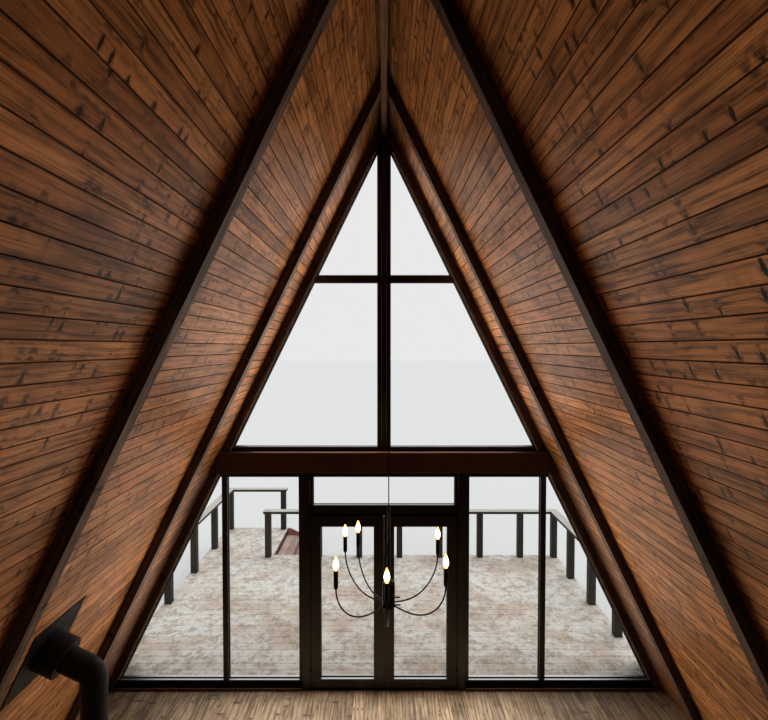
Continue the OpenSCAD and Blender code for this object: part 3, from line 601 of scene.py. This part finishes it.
def lining(side, node):
    """Grooved boards between the rafters, cut round the pipe behind its plate."""
    rng = random.Random(11 + side)
    bm = bmesh.new()
    low = (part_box(node)[0].z - FLOOR_Z) / SIN
    top = (HALF_W - RIDGE_HALF - 0.015) / COS
    hole = 0.17
    rows = math.ceil((top - low) / LINING_FACE)
    for y0, y1 in BAYS:
        for row in range(rows):
            p0 = low + row * LINING_FACE + 0.0002
            p1 = min(low + (row + 1) * LINING_FACE, top) - 0.0002
            s0, s1 = p0 + JOINT, p1 - JOINT
            if s1 - s0 < 4 * V_DEPTH:
                continue
            runs = [(y0 + 0.001, y1 - 0.001)]
            near_flue = abs((s0 + s1) / 2 - FLUE_UP) < hole + LINING_FACE / 2
            if side > 0 and y0 < FLUE_Y < y1 and near_flue:
                runs = [(y0 + 0.001, FLUE_Y - hole), (FLUE_Y + hole, y1 - 0.001)]
            for a, b in runs:
                sunk = rng.uniform(0, 0.0006)
                tilt = rng.uniform(-0.0004, 0.0004)
                section = [
                    (p0, LINING_T), (p0, TONGUE_T), (s0, TONGUE_T), (s0, V_DEPTH),
                    (s0 + V_DEPTH, sunk + 0.0004 + tilt), (s1 - V_DEPTH, sunk + 0.0004 - tilt),
                    (s1, V_DEPTH), (s1, TONGUE_T), (p1, TONGUE_T), (p1, LINING_T)
                ]
                prism(bm, [slope_point(side, s, t, a) for s, t in section],
                      [slope_point(side, s, t, b) for s, t in section])
    name = "lining_boards_" + ("right" if side > 0 else "left")
    boards = timber(name, bm, "stained_boards", 21 + side, Vector((0, 1, 0)),
                    replaces=(node,))
    facing = Vector((-side * SIN, 0, -COS))
    # Every face but the boards' fronts takes the darker wood, which paints shade into the V-grooves
    boards.data.materials.append(MAT["groove_shade"])
    for polygon in boards.data.polygons:
        polygon.material_index = 0 if polygon.normal.dot(facing) > 0.97 else 1


def floor_planks():
    """Floor boards with staggered ends, and short closing boards between the rafters' feet."""
    rng = random.Random(31)
    bm = bmesh.new()
    half = slope_x(-RAFTER_PROUD, FLOOR_Z) - 0.03
    count = int(2 * half / FLOOR_FACE)
    z0, z1 = FLOOR_Z - FLOOR_T, FLOOR_Z
    left = -count * FLOOR_FACE / 2
    for i in range(count):
        x0 = left + i * FLOOR_FACE + 0.0006
        x1 = left + (i + 1) * FLOOR_FACE - 0.0006
        y = FRONT_Y
        step = rng.uniform(0.8, 2.4)
        while y < REAR_Y:
            end = min(y + step, REAR_Y)
            box(bm, (x0, y + 0.0004, z0), (x1, end - 0.0004, z1), 0.0012)
            y, step = end, rng.uniform(1.6, 2.4)
    for side in (-1, 1):
        for y0, y1 in BAYS:
            section = [(-left, z0), (slope_x(-0.0008, z0), z0), (slope_x(-0.0008, z1), z1), (-left, z1)]
            bar(bm, side, section, y0 + 0.001, y1 - 0.001)
    timber("floor_planks", bm, "floor_boards", 32, Vector((0, 1, 0)))
    base = clean_copy("floor")
    cut(base, (0, 0, z0 - 0.0005), (0, 0, 1))
    timber("subfloor", base, "floor_boards", 33, Vector((1, 0, 0)),
           replaces=("floor",))


def outlines(node):
    """The outline in X and Z of each pane of a node, with its two faces' places along Y."""
    bm = clean_copy(node)
    found = []
    for part in islands(bm):
        front = [f for f in part if f.normal.y < -0.99]
        face = max(front, key=lambda f: f.calc_area())
        ys = [v.co.y for f in part for v in f.verts]
        points = [(v.co.x, v.co.z) for v in face.verts]
        found.append((points, min(ys), max(ys)))
    bm.free()
    return found


def inset(points, distance):
    """A convex outline moved inwards by a distance on every side."""
    centre = Vector((sum(p[0] for p in points), sum(p[1] for p in points))) / len(points)
    lines = []
    for p, q in zip(points, points[1:] + points[:1]):
        a, b = Vector(p), Vector(q)
        normal = Vector((a.y - b.y, b.x - a.x)).normalized()
        if normal.dot(centre - a) < 0:
            normal = -normal
        lines.append((normal, normal.dot(a) + distance))
    moved = []
    for (n1, d1), (n2, d2) in zip(lines[-1:] + lines[:-1], lines):
        det = n1.x * n2.y - n1.y * n2.x
        moved.append(((d1 * n2.y - d2 * n1.y) / det, (n1.x * d2 - n2.x * d1) / det))
    return moved


def ring(bm, points, width, y0, y1):
    """A frame with mitred corners along the inside of an outline, from y0 to y1."""
    inner = inset(points, width)
    loops = [[bm.verts.new((x, y, z)) for x, z in outline]
             for outline, y in ((points, y0), (points, y1), (inner, y1), (inner, y0))]
    for a, b in zip(loops, loops[1:] + loops[:1]):
        for i in range(len(a)):
            j = (i + 1) % len(a)
            bm.faces.new((a[i], a[j], b[j], b[i]))


def glazing(node, body):
    """What holds each pane of a node: rubber seals on both faces and the dark spacer between."""
    seals, spacers = bmesh.new(), bmesh.new()
    for points, y0, y1 in outlines(node):
        ring(seals, points, 0.004, y1, y1 + 0.003)
        ring(seals, points, 0.004, y0 - 0.003, y0)
        ring(spacers, points, 0.0035, y0 + 0.005, y1 - 0.005)
    piece(node + "_seals", seals, "rubber", body)
    piece(node + "_spacers", spacers, "rubber", body)


def pane_feet(node, inner, outer, body):
    """Pale metal strips on the ledges under each pane, on the room's side and on the outer side, as a
    painted reflection of the bright sky on the ledges.
    """
    bm = bmesh.new()
    for points, y0, y1 in outlines(node):
        low = min(z for _, z in points)
        xs = sorted(x for x, z in points if z < low + 1e-4)
        if len(xs) < 2 or xs[-1] - xs[0] < 0.1:
            continue
        x0, x1 = xs[0] + 0.002, xs[-1] - 0.002
        box(bm, (x0, y1 + 0.0035, low + 0.0002), (x1, y1 + inner - 0.0015, low + 0.0028), 0.0006)
        box(bm, (x0, y0 - outer, low + 0.0002), (x1, y0 - 0.0035, low + 0.004), 0.0008)
    piece(node + "_sky_reflection_strips", bm, "sky_reflection_strip", body)


def slope_reflection_strips():
    """The pale strips where the slanted frames meet the rafters of the gable: a painted reflection of the
    sky on the reveals there.
    """
    bm = bmesh.new()
    y = FRONT_Y - 0.0499
    foot, lip = -RAFTER_PROUD - 0.0006, -RAFTER_PROUD - 0.017
    rail_low, rail_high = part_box("front_rail")[0].z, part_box("front_rail")[1].z
    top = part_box("upper_glass")[1].z
    for side in (-1, 1):
        for z0, z1 in ((FLOOR_Z + 0.09, rail_low - 0.003), (rail_high + 0.003, top)):
            section = [(slope_x(foot, z0), z0), (slope_x(foot, z1), z1),
                       (slope_x(lip, z1), z1), (slope_x(lip, z0), z0)]
            bar(bm, side, section, y, y + 0.002)
    piece("slope_reflection_strips", bm, "reveal_reflection_strip")


def meeting_seals():
    """The rubber lip on each leaf's meeting edge."""
    for side, body, node in ((1, "right_door", "door_right"), (-1, "left_door", "door_left")):
        low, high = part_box(node)
        bm = bmesh.new()
        x0, x1 = sorted((side * 0.00016, side * 0.005))
        box(bm, (x0, FRONT_Y - 0.014, low.z + 0.002), (x1, FRONT_Y - 0.002, high.z - 0.002), 0.001)
        piece(node + "_lip", bm, "rubber", body)


def skirting():
    """The stained fillet where the floor meets the sill, on both sides of the doors."""
    bm = bmesh.new()
    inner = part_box("door_posts")[1].x + 0.003
    outer = slope_x(-RAFTER_PROUD, FLOOR_Z) - 0.004
    for side in (-1, 1):
        x0, x1 = sorted((side * inner, side * outer))
        box(bm, (x0, FRONT_Y + 0.0005, FLOOR_Z + 0.0005), (x1, FRONT_Y + 0.018, FLOOR_Z + 0.03), 0.004)
    timber("skirting_fillet", bm, "skirting", 51)


# Rear gable

def wall_runs(z0, z1, openings):
    """Where a wall board from z0 to z1 runs: pairs of its lower and upper ends on X."""
    edge = -RAFTER_PROUD - 0.0005
    half0, half1 = slope_x(edge, z0), slope_x(edge, z1)
    holes = sorted((a, b) for a, b, low, high in openings if low < z1 - 1e-4 and high > z0 + 1e-4)
    runs, left = [], (-half0, -half1)
    for a, b in holes:
        runs.append((left, (a, a)))
        left = (b, b)
    runs.append((left, (half0, half1)))
    return [r for r in runs if r[1][1] - r[0][1] > 0.01]


def rear_boards():
    """Horizontal grooved boards on both faces of the rear wall, on its plain core."""
    low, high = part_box("rear_wall")
    openings = [(a.x, b.x, a.z, b.z) for a, b in parts_of("rear_window_frames")]
    cuts = sorted({o[2] for o in openings} | {o[3] for o in openings})
    thick = 0.02
    for name, y_face, y_back in (("rear_lining", low.y, low.y + thick),
                                 ("rear_cladding", high.y, high.y - thick)):
        out = 1 if y_face > y_back else -1
        bm = bmesh.new()
        z = low.z
        while z < high.z - 0.02:
            end = min(z + CLADDING_FACE, high.z)
            levels = [z] + [c for c in cuts if z + 1e-4 < c < end - 1e-4] + [end]
            for a, b in zip(levels, levels[1:]):
                v0 = V_DEPTH if a == z else 0.0
                v1 = V_DEPTH if b == end else 0.0
                for (xa0, xa1), (xb0, xb1) in wall_runs(a, b, openings):
                    section = [
                        (a + BOARD_GAP, y_back), (a + BOARD_GAP, y_face - out * v0),
                        (a + BOARD_GAP + v0, y_face), (b - BOARD_GAP - v1, y_face),
                        (b - BOARD_GAP, y_face - out * v1), (b - BOARD_GAP, y_back)
                    ]
                    section = list(dict.fromkeys(section))
                    prism(bm, *[[(x0 + (x1 - x0) * (h - a) / (b - a), y, h) for h, y in section]
                                for x0, x1 in ((xa0, xa1), (xb0, xb1))])
            z = end
        timber(name, bm, "stained_boards", 61 + out, Vector((1, 0, 0)))
    core = clean_copy("rear_wall")
    cut(core, (0, high.y - thick - 0.0005, 0), (0, 1, 0))
    cut(core, (0, low.y + thick + 0.0005, 0), (0, -1, 0))
    timber("rear_wall_core", core, "stained_boards", 64, Vector((1, 0, 0)),
           replaces=("rear_wall",))


# Roof

def roof_sheets(side, node):
    """Folded metal sheets with upright seams, on a boarded roof deck."""
    low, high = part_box(node)
    y0, y1 = low.y, high.y
    back0, back1 = 0.12, 0.15
    thick = 0.018
    pan = back1 - SEAM_H - 0.001
    half_gap = 0.0005

    def at(back, y):
        return (side * slope_x(back, low.z), y, low.z)

    def ridge_at(back, y):
        return (side * half_gap, y, RIDGE_Z + back / COS - half_gap * math.tan(SLOPE))
    deck = bmesh.new()
    prism(deck, *[[at(back0, y), at(back0 + thick, y), ridge_at(back0 + thick, y), ridge_at(back0, y)]
                  for y in (y0, y1)])
    name = "right" if side > 0 else "left"
    timber("roof_boards_" + name, deck, "dark_timber", 71)
    metal = bmesh.new()
    count = round((y1 - y0) / SEAM_PITCH)
    pitch = (y1 - y0) / count
    for i in range(count):
        a, b = y0 + i * pitch + 0.0006, y0 + (i + 1) * pitch - 0.0006
        section = [
            (a, back0 + thick + 0.0005), (b, back0 + thick + 0.0005), (b, back1 - 0.0006),
            (b - SEAM_W / 2, back1 - 0.0006), (b - SEAM_W / 2, pan), (a + SEAM_W / 2, pan),
            (a + SEAM_W / 2, back1 - 0.0006), (a, back1 - 0.0006)
        ]
        prism(metal, [at(t, y) for y, t in section], [ridge_at(t, y) for y, t in section])
    sheets = piece("roof_sheets_" + name, metal, "roof_metal", replaces=(node,))
    if side > 0:
        cut_round(sheets)
        cut_round(bpy.data.objects["roof_boards_" + name])


def cut_round(obj):
    """Cuts the way of the chimney's sleeve through a roof piece."""
    bm = bmesh.new()
    lathe(bm, [(SLEEVE_R + 0.003, 0.0), (SLEEVE_R + 0.003, 1.0)], ELBOW_END, 48, FLUE_AXIS)
    bmesh.ops.recalc_face_normals(bm, faces=bm.faces)
    mesh = bpy.data.meshes.new("flue_cutter")
    bm.to_mesh(mesh)
    bm.free()
    cutter = bpy.data.objects.new("flue_cutter", mesh)
    bpy.context.scene.collection.objects.link(cutter)
    modifier = obj.modifiers.new("flue", "BOOLEAN")
    modifier.operation = "DIFFERENCE"
    modifier.object = cutter
    modifier.solver = "EXACT"
    graph = bpy.context.evaluated_depsgraph_get()
    done = bpy.data.meshes.new_from_object(obj.evaluated_get(graph))
    obj.modifiers.clear()
    obj.data = done
    bpy.data.objects.remove(cutter)


def eaves_boards():
    """Boards that close the slopes' lower ends between the rafters."""
    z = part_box("roof_panels_right")[0].z
    thick = 0.018
    bm = bmesh.new()
    for side in (-1, 1):
        for y0, y1 in BAYS:
            section = [(slope_x(0.021, z), z - 0.0005), (slope_x(0.119, z), z - 0.0005),
                       (slope_x(0.119, z - thick), z - thick), (slope_x(0.021, z - thick), z - thick)]
            bar(bm, side, section, y0 + 0.001, y1 - 0.001)
    timber("eaves_boards", bm, "dark_timber", 81, Vector((0, 1, 0)))


# Deck

def deck_planks():
    """Boards across the joists, with open gaps, on the deck, its throat and the landing."""
    bm = bmesh.new()
    low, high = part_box("deck_boards")
    z0, z1 = low.z, high.z
    parts = parts_of("deck_boards")
    landing = min(parts, key=lambda b: b[0].y)
    main = max(parts, key=lambda b: b[1].y)
    throat_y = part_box("barge_boards")[0].y - 0.005
    throat_x = slope_x(-0.01, z1) - 0.01

    def field(x0, x1, y0, y1):
        count = round((y1 - y0) / (DECK_FACE + DECK_GAP))
        pitch = (y1 - y0 + DECK_GAP) / count
        for i in range(count):
            a = y0 + i * pitch
            box(bm, (x0, a, z0), (x1, a + pitch - DECK_GAP, z1), 0.002)
    field(main[0].x, main[1].x, main[0].y, throat_y)
    field(-throat_x, throat_x, throat_y + DECK_GAP, main[1].y)
    field(landing[0].x, landing[1].x, landing[0].y, landing[1].y)
    timber("deck_planks", bm, "deck_boards", 91, Vector((1, 0, 0)),
           replaces=("deck_boards",))


def tread_planks():
    """Each tread as two boards."""
    bm = bmesh.new()
    for low, high in parts_of("step_treads"):
        middle = (low.x + high.x) / 2
        box(bm, low, (middle - 0.003, high.y, high.z), 0.004)
        box(bm, (middle + 0.003, low.y, low.z), high, 0.004)
    timber("tread_planks", bm, "step_boards", 93, Vector((0, 1, 0)),
           replaces=("step_treads",))


# Flue

def mitred(bm, path, radius):
    """A pipe of straight lengths in the X-Z plane, cut to mitres where they meet."""
    rings = []
    for i, p in enumerate(path):
        before = (p - path[i - 1]).normalized() if i else (path[1] - p).normalized()
        after = (path[i + 1] - p).normalized() if i + 1 < len(path) else before
        ahead = (before + after).normalized()
        side = ahead.cross(Vector((0, 1, 0))).normalized()
        reach = radius / ahead.dot(before)
        rings.append(circle(bm, p, side * reach, Vector((0, radius, 0)), FLUE_SIDES))
    skin(bm, rings)


def flue():
    """The stove pipe with its open socket, its jointed elbow and the seam rings."""
    bm = bmesh.new()
    base = Vector((FLUE_X, FLUE_Y, 0))
    low, r = FLUE_LOW.z, FLUE_R
    joint = BEND_Z - 0.05
    lathe(bm, [
        (r - 0.004, low + 0.059), (r - 0.004, low), (r + 0.006, low), (r + 0.006, low + 0.026),
        (r + 0.0015, low + 0.03), (r - 0.001, low + 0.036), (r - 0.001, joint - 0.012),
        (r + 0.003, joint - 0.01), (r + 0.0035, joint), (r + 0.003, joint + 0.01), (r, joint + 0.012),
        (r, BEND_Z)
    ], base, FLUE_SIDES)
    corners = 3
    bend = SLOPE / corners
    middle = base + Vector((ELBOW_R, 0, BEND_Z))
    out_r = ELBOW_R / math.cos(bend / 2)
    path = [base + Vector((0, 0, BEND_Z - 0.001))]
    for i in range(corners):
        a = bend * (i + 0.5)
        path.append(middle + out_r * Vector((-math.cos(a), 0, math.sin(a))))
    path.append(ELBOW_END + FLUE_AXIS * 0.02)
    mitred(bm, path, r)
    lathe(bm, [(r + 0.002, 0.0), (r + 0.002, COLLAR_LEN)], ELBOW_END, FLUE_SIDES, FLUE_AXIS)
    piece("flue_elbow", bm, "flue_metal", replaces=("flue_pipe",))


def plate_screws():
    """Round screw heads near the edges of the flue's plate in the room."""
    half, radius = 0.24, 0.006
    bm = bmesh.new()
    facing = Vector((-SIN, 0, -COS))
    side = facing.orthogonal().normalized()
    other = facing.cross(side)
    for u, v in ((u, v) for u in (-1, 0, 1) for v in (-1, 0, 1) if u or v):
        foot = slope_point(1, FLUE_UP + u * half, -0.0065, FLUE_Y + v * half)
        skin(bm, [circle(bm, foot + facing * h * radius, side * r * radius, other * r * radius, 10)
                  for r, h in ((1, 0), (0.85, 0.35), (0.4, 0.5))])
    piece("plate_screws", bm, "screws")


# Lamp

def lamp():
    """The lamp: twisted cable, turned hub, swept arms, candle sleeves and bulbs."""
    hub_low, hub_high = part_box("lamp_hub")
    centre = (hub_low + hub_high) / 2
    axis = Vector((centre.x, centre.y, 0))
    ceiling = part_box("lamp_cable")[1].z
    stem_top = hub_high.z
    rose = bmesh.new()
    lathe(rose, [(0.0, ceiling), (0.0275, ceiling), (0.027, ceiling - 0.012), (0.0235, ceiling - 0.03),
                 (0.0, ceiling - 0.03)], Vector((0, axis.y, 0)), 32)
    hook_z = ceiling - 0.03
    box(rose, (axis.x - 0.007, axis.y - 0.007, hook_z - 0.005), (0.007, axis.y + 0.007, hook_z), 0.001)
    piece("lamp_rose", rose, "black_metal")
    cable = bmesh.new()
    strand, pitch = 0.0022, 0.05
    top, bottom = hook_z - 0.004, stem_top - 0.002
    steps = int((top - bottom) / pitch * 10)
    for start in (0, math.pi):
        path = []
        for i in range(steps + 1):
            z = top + (bottom - top) * i / steps
            a = start + 2 * math.pi * (top - z) / pitch
            path.append(Vector((axis.x + strand * math.cos(a), axis.y + strand * math.sin(a), z)))
        tube(cable, path, strand, 6)
    piece("lamp_cable_strands", cable, "rubber", replaces=("lamp_cable",), smooth=True)
    candles = parts_of("lamp_candles")
    arms_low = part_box("lamp_arms")[0].z
    arm_r = 0.00475
    bend_low = arms_low + arm_r + 0.001
    candle_low = candles[0][0].z
    bend_r = candle_low - bend_low
    hub_r, drop = 0.04, 0.015
    arms, sleeves, bulbs = bmesh.new(), bmesh.new(), bmesh.new()
    glow = bulbs.verts.layers.float.new("tone")
    for low, high in candles:
        foot = Vector(((low.x + high.x) / 2, (low.y + high.y) / 2, 0))
        out = foot - axis
        reach = out.length
        out.normalize()
        run = reach - bend_r - hub_r + 0.002
        dip_r = (run * run + drop * drop) / (2 * drop)
        path = []
        for i in range(9):
            x = run * i / 8
            path.append((hub_r - 0.002 + x, bend_low + dip_r - math.sqrt(dip_r ** 2 - (run - x) ** 2)))
        for i in range(1, 15):
            a = math.pi / 2 * i / 14
            path.append((reach - bend_r + bend_r * math.sin(a), bend_low + bend_r * (1 - math.cos(a))))
        tube(arms, [axis + out * x + Vector((0, 0, z)) for x, z in path], arm_r, 12)
        lathe(sleeves, [(0.0, low.z), (0.0125, low.z), (0.0135, low.z + 0.002), (0.0135, high.z - 0.003),
                        (0.0125, high.z), (0.0, high.z)], foot, 24)
        lathe(arms, [(0.0, low.z - 0.008), (0.008, low.z - 0.007), (0.0095, low.z - 0.001),
                     (0.0, low.z - 0.0005)], foot, 20)
        bulb_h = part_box("lamp_bulbs")[1].z - high.z
        shape = [(0.0, 0.0), (0.55, 0.0), (0.6, 0.06), (0.82, 0.16), (0.97, 0.28), (1.0, 0.38),
                 (0.95, 0.48), (0.8, 0.6), (0.58, 0.73), (0.36, 0.86), (0.18, 0.95), (0.0, 1.0)]
        before = len(bulbs.verts)
        lathe(bulbs, [(0.0172 * r, high.z + bulb_h * h) for r, h in shape], foot, 24)
        bulbs.verts.ensure_lookup_table()
        for v in bulbs.verts[before:]:
            v[glow] = (v.co.z - high.z) / bulb_h
    piece("lamp_arm_rods", arms, "black_metal", replaces=("lamp_arms",), smooth=True)
    piece("lamp_sleeves", sleeves, "black_metal", replaces=("lamp_candles",))
    piece("lamp_bulb_glass", bulbs, "bulb_glass", replaces=("lamp_bulbs",), smooth=True)
    hub = bmesh.new()
    mid = hub_low.z + 0.137
    lathe(hub, [
        (0.0, hub_low.z), (0.004, hub_low.z + 0.004), (0.0075, hub_low.z + 0.03), (0.007, mid - 0.045),
        (0.0105, mid - 0.036), (0.0095, mid - 0.028), (0.016, mid - 0.012), (0.037, mid - 0.002),
        (0.04, mid + 0.003), (0.04, mid + 0.153), (0.037, mid + 0.158), (0.018, mid + 0.168),
        (0.0125, mid + 0.178), (0.01, mid + 0.182), (0.01, stem_top - 0.026), (0.0075, stem_top - 0.012),
        (0.005, stem_top - 0.0005), (0.0, stem_top)
    ], axis, 40)
    piece("lamp_hub_turned", hub, "black_metal", replaces=("lamp_hub",))


# Stage

def stage():
    bm = bmesh.new()
    half = 160.0
    corners = [bm.verts.new((x * half, y * half, -0.002)) for x, y in ((-1, -1), (1, -1), (1, 1), (-1, 1))]
    bm.faces.new(corners)
    mesh = bpy.data.meshes.new("ground_sheet")
    bm.to_mesh(mesh)
    bm.free()
    s = Shader("stage_floor", Base_Color=srgb(226, 226, 223), Roughness=0.9, Specular_IOR_Level=0.1)
    mesh.materials.append(s.material)
    obj = bpy.data.objects.new("ground_sheet", mesh)
    bpy.context.scene.collection.objects.link(obj)


def area_lamp(name, place, facing, size, power, colour):
    """A soft lamp that the camera doesn't see."""
    data = bpy.data.lights.new(name, "AREA")
    data.shape = "RECTANGLE"
    data.size, data.size_y = size
    data.energy = power
    data.color = colour
    obj = bpy.data.objects.new(name, data)
    bpy.context.scene.collection.objects.link(obj)
    obj.location = place
    obj.rotation_mode = "QUATERNION"
    obj.rotation_quaternion = Vector(facing).to_track_quat("-Z", "Y")
    obj.visible_camera = False
    obj.visible_glossy = False


def lights():
    """Soft daylight from above, and lamps just inside the panes for the daylight through them."""
    sun = bpy.data.lights.new("sun", "SUN")
    sun.energy = 1.2
    sun.angle = math.radians(50)
    obj = bpy.data.objects.new("sun", sun)
    bpy.context.scene.collection.objects.link(obj)
    obj.rotation_mode = "QUATERNION"
    obj.rotation_quaternion = Vector((0.3, 0.16, -1.0)).to_track_quat("-Z", "Y")
    daylight = (1.0, 0.98, 0.95)
    for i in range(4):
        place = (0, FRONT_Y + 0.04, FLOOR_Z + 3.15 + 0.75 * i)
        width = 3.0 - 0.75 * i
        area_lamp("upper_window_light_%d" % i, place, (0, 1, -0.1), (width, 0.75), 15 * width, daylight)
    area_lamp("lower_window_light", (0, FRONT_Y + 0.13, FLOOR_Z + 1.3), (0, 1, -0.1), (3.8, 1.7), 160,
              daylight)
    area_lamp("room_light", (0, FRONT_Y + 8.2, FLOOR_Z + 3.4), (0, -1, 0.0), (2.6, 3.0), 7,
              (1.0, 0.93, 0.84))


def world():
    """Even sky light, with a plain white background for the camera and in reflections."""
    made = bpy.data.worlds.new("studio")
    made.use_nodes = True
    bpy.context.scene.world = made
    tree = made.node_tree
    tree.nodes.clear()
    output = tree.nodes.new("ShaderNodeOutputWorld")
    blend = tree.nodes.new("ShaderNodeMixShader")
    sky = tree.nodes.new("ShaderNodeBackground")
    sky.inputs["Color"].default_value = (0.93, 0.96, 1.0, 1.0)
    sky.inputs["Strength"].default_value = 0.8
    plain = tree.nodes.new("ShaderNodeBackground")
    plain.inputs["Color"].default_value = (0.9, 0.9, 0.9, 1.0)
    plain.inputs["Strength"].default_value = 1.0
    path = tree.nodes.new("ShaderNodeLightPath")
    seen = path.outputs["Is Camera Ray"]
    for ray in ("Is Glossy Ray", "Is Transmission Ray"):
        add = tree.nodes.new("ShaderNodeMath")
        add.operation = "MAXIMUM"
        tree.links.new(seen, add.inputs[0])
        tree.links.new(path.outputs[ray], add.inputs[1])
        seen = add.outputs[0]
    tree.links.new(seen, blend.inputs[0])
    tree.links.new(sky.outputs[0], blend.inputs[1])
    tree.links.new(plain.outputs[0], blend.inputs[2])
    tree.links.new(blend.outputs[0], output.inputs["Surface"])


def camera():
    data = bpy.data.cameras.new("photo_view")
    data.sensor_width = SENSOR
    data.lens = FOCAL_PX / IMAGE_W * SENSOR
    data.clip_start = 0.05
    data.clip_end = 500
    obj = bpy.data.objects.new("photo_view", data)
    bpy.context.scene.collection.objects.link(obj)
    obj.location = (0, FRONT_Y + CAMERA_BACK, FLOOR_Z + CAMERA_H)
    obj.rotation_euler = (math.pi / 2 - CAMERA_PITCH, 0, math.pi)
    bpy.context.scene.camera = obj


def main():
    camera()
    world()
    stage()
    lining(1, "lining_right")
    lining(-1, "lining_left")
    floor_planks()
    rear_boards()
    skirting()
    seed = 100
    for material, slot, ease, *nodes in (
        ("dark_timber", "dark_timber", 0.004, "rafters_right", "rafters_left"),
        ("ridge", "stained_boards", 0.003, "ridge_beam"),
        ("dark_timber", "dark_timber", 0.004, "barge_boards", "floor_beams"),
        ("red_timber", "red_timber", 0.005, "front_tie_beam", "rear_tie_beam"),
        ("dark_frame", "dark_frame", 0.003, "front_sill", "front_rail", "upper_mullion"),
        ("dark_frame", "dark_frame", 0.002, "upper_frames"),
        ("dark_frame", "dark_frame", 0.003, "door_posts"),
        ("dark_frame", "dark_frame", 0.002, "lower_frames", "door_jambs", "door_head",
         "rear_window_frames"),
        ("deck_timber", "deck_timber", 0.003, "deck_frame"),
        ("deck_timber", "deck_timber", 0.006, "deck_railing_front", "deck_railing_right",
         "deck_railing_left", "landing_railing"),
        ("step_timber", "deck_timber", 0.004, "step_stringers"),
        ("concrete", "concrete", 0.008, "piers"),
    ):
        for node in nodes:
            eased(node, material, seed, ease)
            seed += 1
    for node, body in (("upper_glass", "root"), ("lower_glass", "root"),
                       ("rear_window_glass", "root"), ("door_right_glass", "right_door"),
                       ("door_left_glass", "left_door")):
        glazing(node, body)
        paint("window_glass", node)
    for node, inner, outer, body in (("upper_glass", 0.028, 0.034, "root"),
                                     ("lower_glass", 0.028, 0.034, "root"),
                                     ("door_right_glass", 0.033, 0.02, "right_door"),
                                     ("door_left_glass", 0.033, 0.02, "left_door")):
        pane_feet(node, inner, outer, body)
    slope_reflection_strips()
    meeting_seals()
    for side, name in ((1, "right"), (-1, "left")):
        roof_sheets(side, "roof_covering_" + name)
    eaves_boards()
    paint("roof_metal", "ridge_cap")
    paint("insulation", "roof_panels_right", "roof_panels_left")
    paint("dark_frame", "door_right", "door_left")
    paint("black_metal", "door_hinges", "door_handle")
    paint("flue_metal", "flue_plates", "chimney")
    deck_planks()
    tread_planks()
    flue()
    plate_screws()
    lamp()
    lights()


main()
bpy.context.scene.view_settings.view_transform = "Standard"
